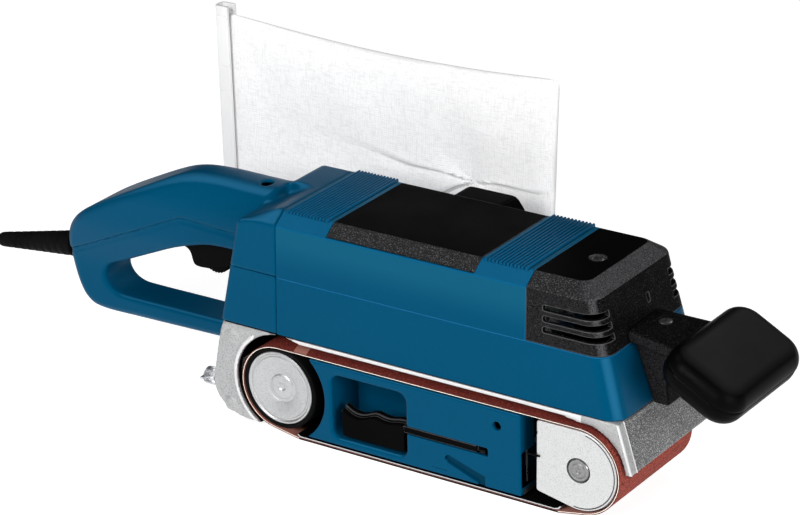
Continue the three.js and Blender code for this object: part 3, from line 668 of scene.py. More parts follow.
# pale aluminium: painted highlight on strips, lips and edges
BRIGHT = plain_metal("aluminium_painted_highlight", (0.72, 0.72, 0.73), 0.5, 0.3)
APRON = dark_cast()
STEEL = plain_metal("steel", (0.62, 0.63, 0.65), 0.28)
DARK_STEEL = plain_metal("blackened_steel", (0.16, 0.16, 0.165), 0.3)
BRASS = plain_metal("brass", (0.72, 0.5, 0.2), 0.3)
COPPER = plain_metal("copper", (0.7, 0.33, 0.17), 0.3)
RUBBER = rubber()
WHITE = white_plastic()
GRIT = abrasive()
BACKING = cloth("belt_cloth", (0.42, 0.13, 0.085), 0.5, 0.75)
BELT_EDGE = plain_metal("belt_cut_edge", (0.95, 0.8, 0.7), 0.8, 0.0)
# the grit's cut edge, darkened as painted shade
GRIT_EDGE = plain_metal("grit_edge_painted_shade", (0.06, 0.016, 0.012), 0.9, 0.0)
SPLICE = cloth("splice_cloth", (0.62, 0.2, 0.13), 0.5, 0.85)
# the bag's cotton glows: painted light
COTTON = cloth("bag_cotton", (0.74, 0.74, 0.745), 0.62, 0.75, 0.255)
GRAPHITE = plain_metal("graphite", (0.06, 0.06, 0.065), 0.55, 0.1)
DRUM_FACE = machined("turned_aluminium", (0.5, 0.505, 0.51), 0.4, DRUM)
AXLE_FACE = machined("turned_steel", (0.26, 0.26, 0.265), 0.28, ROLLER)


# ---- camera, floor and light ----
LOOK_AT = np.array([-38.3, 0.0, 104.16])
AZIMUTH, ELEVATION, ROLL = (math.radians(a) for a in (34.88, 23.28, -1.77))
DISTANCE = 1746.91
LENS = 146.65


def make_camera():
    back = Vector((
        math.sin(AZIMUTH) * math.cos(ELEVATION), -math.cos(AZIMUTH) * math.cos(ELEVATION), math.sin(ELEVATION),
    ))
    right = Vector((math.cos(AZIMUTH), math.sin(AZIMUTH), 0))
    up = back.cross(right)
    side = right * math.cos(ROLL) + up * math.sin(ROLL)
    rise = up * math.cos(ROLL) - right * math.sin(ROLL)
    data = bpy.data.cameras.new("camera")
    data.lens = LENS
    camera = bpy.data.objects.new("camera", data)
    bpy.context.scene.collection.objects.link(camera)
    turn = Matrix((side, rise, back)).transposed()
    place = (Vector(LOOK_AT) + back * DISTANCE) * MM
    camera.matrix_world = Matrix.Translation(place) @ turn.to_4x4()
    bpy.context.scene.camera = camera


def area_light(name, place, aim, size, power):
    data = bpy.data.lights.new(name, "AREA")
    data.shape = "RECTANGLE"
    data.size, data.size_y = size
    data.energy = power
    light = bpy.data.objects.new(name, data)
    bpy.context.scene.collection.objects.link(light)
    light.location = place
    light.rotation_mode = "QUATERNION"
    light.rotation_quaternion = (Vector(aim) - Vector(place)).to_track_quat("-Z", "Y")


def make_studio():
    scene = bpy.context.scene
    scene.view_settings.view_transform = "Standard"
    world = bpy.data.worlds.new("studio")
    world.use_nodes = True
    tree = world.node_tree
    coords = tree.nodes.new("ShaderNodeTexCoord")
    parts = tree.nodes.new("ShaderNodeSeparateXYZ")
    sky = tree.nodes.new("ShaderNodeMapRange")
    for key, value in (("From Min", 0.45), ("From Max", 0.95), ("To Min", 0.03), ("To Max", 0.9)):
        sky.inputs[key].default_value = value
    tree.links.new(coords.outputs["Generated"], parts.inputs[0])
    tree.links.new(parts.outputs["Z"], sky.inputs["Value"])
    tree.links.new(sky.outputs[0], tree.nodes["Background"].inputs["Strength"])
    scene.world = world
    bpy.ops.mesh.primitive_plane_add(size=12, location=(0, 0, -0.0004))
    floor = bpy.context.object
    floor.name = "floor"
    paint = Shader("floor_paint", (0.5, 0.5, 0.5), 0.9, Specular_IOR_Level=0.1)
    paint.shader.inputs["Emission Color"].default_value = (1, 1, 1, 1)
    paint.shader.inputs["Emission Strength"].default_value = 0.85
    floor.data.materials.append(paint.mottle(3, (0.48, 0.48, 0.48)).material)
    area_light("key", (-0.1, -1.38, 0.85), (-0.05, 0, 0.08), (0.8, 0.6), 19)
    area_light("nose", (1.3, -0.5, 0.55), (0.12, 0, 0.09), (0.5, 0.6), 12)
    area_light("top", (-0.75, -0.3, 1.3), (-0.05, 0, 0.1), (0.5, 0.5), 3)
    area_light("back", (0.15, 1.5, 1.4), (0, 0, 0.1), (0.9, 0.5), 4)


# ---- body ----
def nose_at(z):
    return NOSE - (z - BASE_Z) * NOSE_LEAN


def level(z, inset=0.0):
    """One height of the body below the chamfer: height, half width, front and corner radius."""
    width = BASE_W + (EDGE_W - BASE_W) * (z - BASE_Z) / (EDGE_Z - BASE_Z)
    return [z, width - inset, nose_at(z) - inset, 10 - inset]


def body_form(rear, inset=0.0, low=BASE_Z, fine=False):
    """The body between a rear plane and its leaning nose; the fine one has soft edges and a parting groove."""
    rows = [level(low, inset)]
    shoulder = [
        [EDGE_Z - inset / 2, EDGE_W - inset, nose_at(EDGE_Z) - inset, 9.5 - inset],
        [TOP_Z - inset, TOP_W - inset / 2, nose_at(TOP_Z) - 7 - inset, 6 - inset / 2],
        [TOP_Z - inset, TOP_W - inset / 2 - 6, nose_at(TOP_Z) - 13 - inset, 3],
    ]
    if fine:
        rows = [level(BASE_Z, 0.7), level(BASE_Z + 0.25, 0.2), level(BASE_Z + 0.8)]
        rows += [level(CAP_Z - d, i) for d, i in ((0.6, 0), (0.5, 0.06), (0.4, 0.35), (0.1, 0.35), (0, 0))]
        rows += soften([level(EDGE_Z - 6), *shoulder], 1.2).tolist()
    else:
        rows += shoulder
    loops = []
    for z, width, front, corner in rows:
        flat = rounded(rear, front, MID - width, MID + width, [0.3, corner, corner, 0.3], 12)
        loops.append(placed("Z", np.column_stack([flat, np.full(len(flat), z)])))
    return loops_mesh(loops)


def box_mesh(xs, ys, zs):
    return prism("Z", rounded(*xs, *ys, 0.01, 1), *zs, 0)


BELT_WAY = ((40.8, 50.2), (50, BASE_Z + 8))  # y and z of the drive belt's passage
CAP_CAVITY = body_form(CAP_X - 3, WALL, BASE_Z + 3)


def make_housing():
    body = piece("motor_housing_skin", body_form(SEAM, fine=True))
    seat = cut(piece("seat", box_mesh(PANEL, FAR, (EDGE_Z + 0.2, 140))), body_form(SEAM - 40, 2.7, 70))
    lip = piece("lip", box_mesh((CAP_X, 160), FAR, (CAP_Z, 150)))
    belt_way = box_mesh((-101, -64), *BELT_WAY)
    cut(body, body_form(SEAM - 5, WALL, BASE_Z + 3), seat, lip, belt_way)
    cut(body, merged(*(rib_grooves(low, high) for low, high in RIB_BANDS)))
    # bevels in the lit copy: painted edge highlight
    bevelled(body, 0.2, 1, 50, BLUE_EDGE_HIGHLIGHT)
    dress(body, "root", BLUE, ["motor_housing"])
    # painted light on the chamfers
    paint_faces(body, BLUE_CHAMFER_LIT, lambda at, n: 0.25 < n.z < 0.97 and abs(n.y) > 0.3 and at.z > EDGE_Z - 1)
    # painted highlight line along the chamfer's lower edge
    paint_faces(body, BLUE_EDGE_HIGHLIGHT, lambda at, n: 0.12 < n.z < 0.25 and abs(n.y) > 0.3 and at.z > EDGE_Z - 3)
    weighted(body)


RIB_BANDS = ((-95, -67.6), (31.3, 58))
RIB_PITCH = 2.06


def make_ribs():
    """Proud rounded ribs between the grooves, hanging a little over the chamfer."""
    made = []
    for low, high in RIB_BANDS:
        count = int((high - low) / RIB_PITCH)
        step = (high - low) / count
        for k in range(count):
            x = low + (k + 0.5) * step
            half = step / 2 - 0.36
            crown = [(x + half, TOP_Z - 0.9), (x + half, TOP_Z + 0.3), *arc(x, TOP_Z + 0.3, half, 0, 180, 6),
                     (x - half, TOP_Z + 0.3), (x - half, TOP_Z - 0.9)]
            made.append(prism("Y", crown, MID - TOP_W - 1.9, MID + TOP_W + 1.9, 0.45, 2))
    # the ribs take the lit copy: painted light
    dress(piece("top_ribs", merged(*made)), "root", BLUE_RIB_LIT)


def rib_grooves(low, high):
    """Cutters that leave rounded ribs across the top, their ends scalloped at the chamfer."""
    count = int((high - low) / RIB_PITCH)
    made = []
    for k in range(count + 1):
        x = low + (high - low) * k / count
        half = 0.4
        groove = [(x - half, TOP_Z + 1), (x - half, TOP_Z - 0.6), *arc(x, TOP_Z - 0.6, half, 180, 360, 6),
                  (x + half, TOP_Z + 1)]
        made.append(prism("Y", groove, MID - TOP_W - 1.5, MID + TOP_W + 1.5, 0))
    return merged(*made)


def make_panel():
    zone = piece("zone", box_mesh((PANEL[0] + SEAM_GAP, PANEL[1] - SEAM_GAP), FAR, (EDGE_Z + 0.5, 140)))
    body = piece("top_panel_skin", body_form(SEAM, fine=True))
    common(body, zone)
    cut(body, body_form(SEAM - 40, 2.4, 70))
    bevelled(body, 0.3, 2, 40, BLACK_EDGE_HIGHLIGHT)
    dress(body, "root", GLOSS, ["top_panel"])
    paint_chamfer(body)
    weighted(body)


def paint_chamfer(obj):
    # chamfer faces take the lit copy: painted light
    paint_faces(obj, CHAMFER, lambda at, n: 0.35 < n.z < 0.97 and at.z > EDGE_Z - 0.5)


def make_front_cap():
    zone = piece("zone", box_mesh((CAP_X + 0.3, 160), FAR, (CAP_Z + 0.3, 150)))
    body = piece("front_cap_skin", body_form(SEAM, fine=True))
    common(body, zone)
    cut(body, CAP_CAVITY)
    slots = []
    for z in (98.5, 104.5, 110.5):
        slit = rounded(71.5, 150, z, z + 3.2, 1.2, 4)
        slots += [prism("Y", slit, -60, MID - 30, 0), prism("Y", slit, MID + 30, 90, 0)]
    cut(body, merged(*slots))
    well = turned("Z", 81, 7.3, [(0, 110), (2.2, 110), (2.2, 140), (0, 140)], 32)
    dish = turned("Z", 81, 7.3, [(0, TOP_Z - 0.9), (4.0, TOP_Z - 0.9), (4.9, TOP_Z + 0.4), (0, TOP_Z + 0.4)], 48)
    cut(body, well)
    cut(body, dish)
    cut(body, box_mesh((103, 112), (15.6, 18.2), (104.6, 109.4)))
    bevelled(body, 0.35, 2, 40, BLACK_EDGE_HIGHLIGHT)
    dress(body, "root", GRAINED, ["front_cap"])
    paint_chamfer(body)
    paint_faces(body, GLOSS, lambda at, n: n.z > 0.97 and at.z > TOP_Z - 0.3)
    weighted(body)
    cross_screw("cap_screw_head", "cap_screw", "Z", 81, 7.3, TOP_Z - 0.3, 3.6, 1.8, 14)


def cross_screw(name, node, axis, u, v, top, head, shank, length):
    """A domed screw head with a crossed recess."""
    profile = [(0, top - length), (shank, top - length), (shank, top - 1.2), (head, top - 1.2)]
    profile += [(head * math.cos(t), top - 0.6 + 0.6 * math.sin(t)) for t in np.linspace(0, math.pi / 2, 6)]
    made = piece(name, turned(axis, u, v, profile, 40))
    d = 0.45
    for a, b in ((head * 0.62, d), (d, head * 0.62)):
        cut(made, prism(axis, rounded(u - a, u + a, v - b, v + b, 0.2, 2), top - 0.9, top + 1, 0))
    dress(made, "root", DARK_STEEL, [node])


# ---- rear shells and D handle ----
GRIP_OUTER = spline([
    (-136, 127.5), (-162, 127.5), (-185, 123), (-222, 106), (-249, 92), (-262, 82), (-268.6, 70), (-269.2, 57),
    (-265, 40.5), (-258.5, 30.5), (-247, 26.6), (-216, 26.9), (-136, 28.6),
], 8)
FINGER_GAP = spline([
    (-130, 88), (-152, 88), (-166, 86.5), (-186, 80.5), (-206, 71.8), (-228, 61.8), (-240, 56.5), (-243.5, 50),
    (-241, 43.6), (-234, 39.8), (-222, 39.1), (-190, 39.3), (-130, 39.5),
], 8)
LEDGE = [
    *spline([(-300, 49), (-257, 66), (-232, 77.5), (-209, 87.8), (-187, 97.6), (-179, 100.3), (-166, 100),
             (-137, 98.5)], 6),
    (-136.6, CAP_Z), (-60, CAP_Z),
]
HOOD = [
    (-134.9, BASE_Z - 0.3), (-138.2, 45.6), (-143.3, 20), (-141, 12), (-134, 5), (-124, 1.4), (-100, 1.4),
    (-100, BASE_Z - 0.3),
]
REAR_SLOPE = [(-138.6, 45), (-60, 45), (-60, 160), (-100, 160), (-118, 128.5), (-124, 120)]
CORD_TILT = math.radians(-9.6)
CORD_TIP = np.array([-332.0, MID, 48.4])


def grip_section(inset=0.0):
    right = [(13, 20), (13, 58), (19, 84), (19, 108), (14, 121), (7, 127.8)]
    right = [(y - inset, z - (inset if z > 120 else 0)) for y, z in right]
    return soften([(MID + y, z) for y, z in right] + [(MID - y, z) for y, z in right[::-1]], 7, 6, True)


def along_cord(x, y, z):
    """Distance along the cord's line from its tip, and away from it."""
    dx, dz = x - CORD_TIP[0], z - CORD_TIP[2]
    c, s = math.cos(CORD_TILT), math.sin(CORD_TILT)
    return dx * c - dz * s, np.hypot(dx * s + dz * c, y - CORD_TIP[1])


def block_field(y, z):
    """The body's cross-section, for the rear shells."""
    across = np.abs(y - MID)
    lean = (BASE_W - EDGE_W) / (EDGE_Z - BASE_Z)
    side = (across - BASE_W + (z - BASE_Z) * lean) / math.hypot(1, lean)
    chamfer = ((across - EDGE_W) * (TOP_Z - EDGE_Z) + (z - EDGE_Z) * (EDGE_W - TOP_W)) / math.hypot(
        TOP_Z - EDGE_Z, EDGE_W - TOP_W
    )
    return both(both(both(side, chamfer, 0.8), z - TOP_Z, 0.8), BASE_Z - z, 0.6)


def rear_field(x, y, z):
    scoop = both(np.hypot(x + 138, z - 184) - 66, y - MID - 3, 5.0)
    rear = without(both(block_field(y, z), outline(REAR_SLOPE, x, z), 2.6), scoop, 2.5)
    side = outline(np.vstack([GRIP_OUTER, [(-120, 40), (-120, TOP_Z)]]), x, z)
    loop = both(side, outline(grip_section(), y, z), 5.5)
    gap = both(outline(np.vstack([FINGER_GAP, [(-100, 39.5), (-100, 88)]]), x, z), x + 133)
    loop = without(loop, gap, 2.6)
    hood = outline(np.array(HOOD) - (0.5, 0), x, z)
    loop = without(without(loop, both(z - BASE_Z, -139 - x)), hood)
    f = either(rear, loop, 3.0)
    f = both(f, x - (SEAM - 0.3), 0.3)
    grip = [
        (-110, 116.5), (-121, 116.5), (-128, 124), (-162, 124), (-184, 119.5), (-222, 102), (-257, 82),
        (-264.8, 71), (-264.6, 50), (-259, 46), (-250, 49), (-248, 57), (-238, 63.5), (-206, 76.5), (-180, 88),
        (-164, 91.5), (-110, 91.5),
    ]
    inner = [(-132, BASE_Z + 3), (-90, BASE_Z + 3), (-90, 116), (-119, 112)]
    hollow = np.minimum(
        both(block_field(y, z) + 2.6, outline(inner, x, z)),
        both(outline(grip, x, z), outline(grip_section(3.5), y, z)),
    )
    f = without(f, hollow)
    f = without(f, block(x, y, z, (-197, -148), (MID - 8.5, MID + 8.5), (70, 93), 1.5), 0.7)
    f = without(f, both(np.hypot(x + 208, z - 96) - 5.5, MID + 10 - y), 0.6)
    f = without(f, both(np.hypot(x + 131, y - 8) - 3.6, 100 - z), 0.7)
    run, away = along_cord(x, y, z)
    f = without(f, both(away - 6.2, slab(run, 40, 76)), 0.4)
    return without(f, block(x, y, z, (-120, -90), *BELT_WAY))


def make_rear_shells():
    above = np.array([*LEDGE, (-60, 150), (-300, 150)])
    below = np.array([*LEDGE, (-60, 0), (-300, 0)])

    def upper(x, y, z):
        return both(rear_field(x, y, z), outline(above, x, z), 0.4)

    def lower(x, y, z):
        under = outline(below, x, z)
        band = np.clip((3.2 + under) / 0.5, 0, 1) * np.clip((-139 - x) / 0.5, 0, 1)
        return both(rear_field(x, y, z) + 0.6 * band, under - 0.25)

    low, high = (-273, MID - BASE_W - 1, 25), (SEAM, MID + BASE_W + 1, 129)
    for name, field in (("upper", upper), ("lower", lower)):
        made = piece(f"rear_shell_{name}_skin", field_mesh(field, low, high, STEP_ORGANIC))
        dress(made, "root", BLUE_SOFT, [f"rear_shell_{name}"], 55)
        weighted(made)
    cross_screw("handle_screw_head", "handle_screw", "Z", -131, 8, 119.6, 3.0, 1.6, 18)


# ---- base casting ----
COVER_SCREW_X, COVER_SCREW_Z = (-117, -71.5), 9.5


def casting_field(x, y, z):
    top = BASE_Z - 0.3
    corners = outline(rounded(-135, NOSE, -34.5, 54, [2, 10, 10, 2]), x, y)
    f = both(corners, slab(z, 53.6, top, 0.8), 0.8)
    side = outline([(-126, 3), (60, 3), (60, 54), (-126, 54)], x, z)
    wall = both(block(x, y, z, (-126, 60), (HALF + 0.7, 41), (3, 54), 0.8), side)
    f = either(f, wall, 1.0)
    pocket = [
        (-130, 53.6), (-135, 44.5), (-139.8, 20), (-137, 13.5), (-132, 8), (-123, 4.6), (-108, 4.6), (-104, 20),
        (-104, 53.6),
    ]
    shell = both(outline(soften(HOOD, 5, 5, True), x, z), slab(y, -34.5, 41), 1.2)
    shell = without(shell, both(outline(pocket, x, z), slab(y, -30.5, HALF + 0.7)), 1.0)
    for bx, bz, r in ((-128.3, 49.8, 4.4), (-131.0, 8.5, 4.0)):
        shell = either(shell, both(np.hypot(x - bx, z - bz) - r, slab(y, -35.6, -30), 0.7), 0.5)
    f = either(f, shell, 1.0)
    apron = [(113.4, top), (117.4, top), (125.6, 30.4), (122.4, 30.4)]
    apron_end = [(-34.5, 20), (48, 20), (48, 30), (50.5, 33), (44, 43), (44, 70), (-34.5, 70)]
    skirt = both(outline(apron, x, z), outline(apron_end, y, z), 1.0)
    f = np.minimum(f, skirt)
    web = both(outline([(84, top), (115, top), (124, 30.6), (121, 30.6), (112, 44)], x, z), slab(y, -34.5, -31.2))
    web = without(web, np.hypot(x - ROLLER[0], z - ROLLER[2]) - WRAP_R - 1.6)
    f = either(f, web, 0.6)
    away = np.hypot(x - DRUM[0], z - DRUM[2])
    f = without(f, both(away - WRAP_R - 5.2, y - HALF - 0.7), 0.8)
    lip = both(both(np.abs(away - WRAP_R - 6.2) - 1.0, slab(y, -35.6, -30)), outline(HOOD, x, z) + 0.5, 0.4)
    f = either(f, both(lip, z - 53), 0.4)
    rebate = [(-92, 40), (-92, 55.7), (60, 55.7), (84, 55.2), (100, 52.8), (112, 47), (112, 40)]
    f = without(f, both(outline(rebate, x, z), y + 30.6), 0.5)
    boss = both(away - 15, slab(y, 22, 40), 0.8)
    f = without(either(f, boss, 0.8), both(away - 11.4, -y))
    f = without(f, block(x, y, z, (-120, -66), (40.9, 51), (45, 70)))
    f = without(f, both(np.hypot(y + 27, z - 18.3) - 3.4, x + 138), 0.4)
    for screw_x in COVER_SCREW_X:
        f = without(f, both(np.hypot(x - screw_x, z - COVER_SCREW_Z) - 1.8, slab(y, 36, 44)))
    return f


def make_casting():
    made = piece("base_casting_skin", field_mesh(casting_field, (-146, -36, 0), (128, 55, BASE_Z), STEP_ORGANIC))
    dress(made, "root", CAST, ["base_casting"], 50)
    # painted shade: the apron's front faces take the shaded copy of the aluminium
    paint_faces(made, APRON, lambda at, n: n.x > 0.8 and at.x > 112 and at.y > -28.7)
    # painted highlight on the strip along the near side and on the lip round the drum
    paint_faces(made, BRIGHT, lambda at, n: -92 < at.x < 96 and at.z > 54 and n.y < -0.5 and at.y < -30)
    paint_faces(made, BRIGHT, lambda at, n: n.y < -0.4 and at.y < -34.8
                and abs(math.hypot(at.x - DRUM[0], at.z - DRUM[2]) - WRAP_R - 6.2) < 1.4)
    # painted shade on the casting's inner faces round the drum and belt
    paint_faces(made, DARK, lambda at, n: at.y > -33.4 and at.y < 39 and at.z < 53.4 and at.x < 60
                and (n.y < 0.5) and (at.x > -136 - 0.1 * at.z) and n.x > -0.5)
    weighted(made)
    top = BASE_Z - 0.6
    corner = [(116.4, top), (117.7, top), (125.7, 30.8), (124.4, 30.8)]
    ridge = [(116.4, top), (117.9, top), (126.0, 30.8), (124.6, 30.8)]
    edges = merged(prism("Y", corner, -34.75, -33.5, 0.4, 2), prism("Y", ridge, -29.1, -28.5, 0.25, 2))
    # painted highlight: the apron's edge strips in pale aluminium
    dress(piece("apron_edges", edges), "root", BRIGHT)
    strip = rounded(SEAM - 36, NOSE - 0.4, MID - BASE_W + 0.4, MID + BASE_W - 0.4, [1, 10, 10, 1])
    gasket = piece("housing_gasket", prism("Z", strip, BASE_Z - 0.28, BASE_Z - 0.02, 0))
    cut(gasket, box_mesh((-130, 100), (MID - 36, 52), (50, 60)))
    dress(gasket, "root", BLACK)
    knurl_count = 40
    radius = [5.0 if k % 2 else 4.65 for k in range(knurl_count * 2)]
    turn = np.linspace(0, 2 * math.pi, knurl_count * 2, endpoint=False)
    ring = np.stack([-27 + radius * np.cos(turn), 18.3 + radius * np.sin(turn)], 1)
    screw_body = piece("tracking_screw_skin", merged(
        prism("X", ring, -152.5, -144.7, 0.4, 2),
        turned("X", -27, 18.3, [(0, -145), (3, -145), (3, -140.2), (2.6, -139.8), (0, -139.8)], 32),
    ))
    cut(screw_body, box_mesh((-153.5, -151.6), (-33, -21), (17.7, 18.9)))
    dress(screw_body, "tracking", STEEL, ["tracking_screw"])


# ---- running gear ----
def belt_path(radius, sole_z):
    lean = math.pi / 18
    front = arc(ROLLER[0], ROLLER[2], radius, 90, -90 + math.degrees(lean), 36)
    back = arc(DRUM[0], DRUM[2], radius, -90 - math.degrees(lean), -270, 36)
    return np.vstack([front, [(SOLE_HALF, sole_z), (-SOLE_HALF, sole_z)], back])


def ring_prism(axis, outer, inner, low, high):
    rows = [(outer, low), (outer, high), (inner, high), (inner, low)]
    loops = [placed(axis, np.column_stack([o, np.full(len(o), d)])) for o, d in rows]
    return loops_mesh(loops, closed=True)


def make_belt():
    layers = [(WRAP_R, 0.0), (WRAP_R - 0.5, 0.5), (WRAP_R - 0.85, 0.85)]
    loops = [belt_path(*layer) for layer in layers]
    grit = piece("belt_grit", ring_prism("Y", loops[0], loops[1], -HALF, HALF))
    dress(grit, "root", GRIT, ["sanding_belt"])
    # the grit layer's cut edges darkened: painted shade
    paint_faces(grit, GRIT_EDGE, lambda at, n: abs(n.y) > 0.9)
    cloth_side = piece("belt_backing", ring_prism("Y", loops[1], loops[2], -HALF, HALF))
    dress(cloth_side, "root", BACKING, ["sanding_belt"])
    paint_faces(cloth_side, BELT_EDGE, lambda at, n: abs(n.y) > 0.9 and at.z > 2)
    # painted shade: the bottom run's edges black
    for layer in (grit, cloth_side):
        paint_faces(layer, BLACK, lambda at, n: abs(n.y) > 0.9 and at.z <= 1.2)
    top = DRUM[2] + WRAP_R
    corners = [(-84.5, -HALF), (-76, -HALF), (-101, HALF), (-109.5, HALF)]
    splice = piece("belt_splice", prism("Z", corners, top - 0.2, top + 0.06, 0))
    dress(splice, "root", SPLICE)


def make_drum():
    u, v = DRUM[0], DRUM[2]
    face = [
        (0, -34.05), (1.6, -34.05), (2.2, -34.35), (2.6, -34.75), (6.3, -34.75), (6.9, -34.55), (7.4, -34.1),
        (9.0, -34.1), (9.8, -34.5), (17.2, -36.0), (18.0, -36.1), (18.4, -35.6), (19.2, -35.6), (19.6, -36.2),
        (20.2, -36.6), (20.9, -36.6), (21.2, -36.3), (21.2, 36), (17, 36), (17, -22), (6.4, -22), (6.4, -31),
        (0, -31),
    ]
    hub = piece("drum_hub_skin", turned("Y", u, v, face, 96))
    cut(hub, turned("Y", u, v, [(0, -30), (6.3, -30), (6.3, 60), (0, 60)], 48))
    dress(hub, "drum", DRUM_FACE, ["drum_hub"], 24)
    outer = WRAP_R - BELT_THICK
    profile = [(21.5, -36.5), (21.9, -36.9), (outer - 0.7, -36.9), (outer, -36.2), (outer, 35.8), (outer - 0.6, 36.4),
               (21.5, 36.4)]
    sleeve = piece("drum_sleeve_skin", turned("Y", u, v, profile, 96, True))
    dress(sleeve, "drum", RUBBER, ["drum_sleeve"])


SLOT_Z = (20.9, 25.9)
RECESS = (-60.5, -12, 7, 44.5)


def frame_field(x, y, z):
    f = block(x, y, z, (-80, 60.3), (-HALF, 37.9), (2.9, 50.1), 1.0)
    f = without(f, np.hypot(x - DRUM[0], z - DRUM[2]) - 30.3, 0.8)
    recess = outline(rounded(*RECESS, 5, 6), x, z)
    lip = both(np.abs(recess - 1.3) - 1.2, slab(y, -HALF - 0.0, -HALF + 2, 0.3))
    f = np.minimum(f, both(both(lip, x - 59.5), -79 - x))
    f = without(f, both(recess, y + 11.5), 1.8)
    f = without(f, block(x, y, z, (-12.5, 39.7), (-60, -25), SLOT_Z, 0.5), 0.5)
    f = without(f, block(x, y, z, (-9, 57.5), (-34.5, 60), (6.2, 47), 0.5))
    f = without(f, block(x, y, z, (-60, -8), (-8.5, 60), (6.2, 47), 0.5))
    f = without(f, block(x, y, z, (55, 80), (-20, 20), (14, 42), 0.5), 0.4)
    f = without(f, block(x, y, z, (-76, 80), (-33.8, 60), (-20, 5.6), 0.3))
    f = without(f, both(np.hypot(x - 45.8, z - 40.6) - 2.5, y + 34.6), 0.3)
    f = without(f, block(x, y, z, (53, 80), (-35.9, 36), (7, 27.4), 0.4), 0.5)
    return without(f, block(x, y, z, (53, 80), (-23, 36), (20, 47.4), 0.4), 0.5)


def make_frame_plate():
    made = piece("frame_plate_skin", field_mesh(frame_field, (-81, -38, 2), (61, 38.5, 51), STEP_FINE))
    groove = [*arc(15.2, 13.5, 2.4, 240, 60, 10), (38.2, 8.9), (38.2, 0), (33.6, 0), (33.6, 4.2)]
    mark = [(4.5, 6.7), (14.1, 6.4), (14.1, 6.0), (4.5, 6.3)]
    cut(made, merged(prism("Y", groove, -40, -36.1, 0), prism("Y", mark, -40, -37.1, 0)))
    dress(made, "root", BLUE_SOFT, ["frame_plate"], 50)

    def inside(at, n):
        end = at.x > 48 and -35.7 < at.y < 36.2 and 6.6 < at.z < 47.8 and (at.z < 27.6 or at.y > -23.4)
        return end and n.x < 0.6 or -9 < at.x < 48 and at.y > -34.4 and 6.4 < at.z < 46.8

    def in_groove(at):
        return 12 < at.x < 40 and at.z < 17 and -37.3 < at.y < -35.9

    # painted shade in the plate's open end and cavity
    paint_faces(made, DARK, inside)
    # painted light on the groove's upward walls, painted shade on its floor and downward walls
    paint_faces(made, BLUE_CHAMFER_LIT, lambda at, n: in_groove(at) and n.z > 0.5)
    paint_faces(made, BLUE_DARK, lambda at, n: in_groove(at) and n.z <= 0.5)
    weighted(made)
    strips = [box_mesh((57.2, 57.8), (-34.2, -32.4), (7.5, 27)), box_mesh((57.8, 58.4), (-28.4, -27.2), (7.5, 26))]
    dress(piece("guide_strips", merged(*strips)), "root", STEEL)
    sole = [(-84.2, 2.6), (-82.5, 1.4), (81, 1.4), (83.5, 2.1), (85, 3.9), (84.4, 4.4), (83, 2.9), (80.7, 2.2),
            (-82.2, 2.2), (-83.7, 3.3)]
    plate = piece("sole_plate_skin", prism("Y", sole, -HALF, HALF - 1, 0.15, 1))
    dress(plate, "root", STEEL, ["sole_plate"])
    # painted shade on the sole plate's top, between sole and frame
    paint_faces(plate, DARK, lambda at, n: n.z > 0.5)


def make_carriage():
    u, v = ROLLER[0], ROLLER[2]
    cheek = np.vstack([[(69.6, 9.6), (82.5, 6.9)], arc(u, v, 22.9, -104, 90, 40), [(70.4, 50.5)]])
    cheek = soften(cheek, 1.6, 4, True)
    near = piece("roller_carriage_skin", prism("Y", cheek, -37.3, -34.5, 0.7, 3))
    join(near, prism("Y", cheek, 34.5, 37.3, 0.6, 2))
    join(near, box_mesh((70.5, 71.3), (-34.7, 34.7), (12, 48)))
    join(near, box_mesh((70.5, 73), (-34.7, 34.7), (39, 48)))
    join(near, box_mesh((-4, 71), (-6, 6), (22, 33)))
    cut(near, turned("Y", u, v, [(0, -60), (6.94, -60), (6.94, 60), (0, 60)], 48))
    cut(near, prism("Y", circle(69.9, 43.2, 1.0, 20), -39, -34, 0))
    rim = np.vstack([arc(u, v, 21.7, -98, 78, 40), arc(u, v, 21.35, 78, -98, 40)])
    cut(near, prism("Y", rim, -38, -36.95, 0))
    dress(bevelled(near, 0.2, 2, 40, DARK_STEEL), "carriage", PLATE, ["roller_carriage"])
    # painted shade on the carriage's inner faces between its cheeks
    paint_faces(near, DARK, lambda at, n: -34.6 < at.y < 34.6)
    weighted(near)
    hook_y = (-38.0, -37.45)
    hook = merged(box_mesh((64.8, 72.4), hook_y, (29.6, 30.5)), box_mesh((69.6, 70.3), hook_y, (28.2, 31.6)))
    dress(piece("belt_guide_hook", hook), "carriage", BLACK)
    rings = [(0, -37.3), (0.9, -37.3), (1.1, -37.1), (1.5, -37.1), (1.8, -37.35), (3.6, -37.35), (3.9, -37.1),
             (4.3, -37.1), (4.6, -37.4), (5.9, -37.4), (6.3, -36.9), (6.64, -36.0), (6.64, 36.5), (6.3, 36.8),
             (0, 36.8)]
    axle = piece("roller_axle_skin", turned("Y", u, v, rings, 64))
    dress(axle, "carriage", AXLE_FACE, ["roller_axle"], 24)


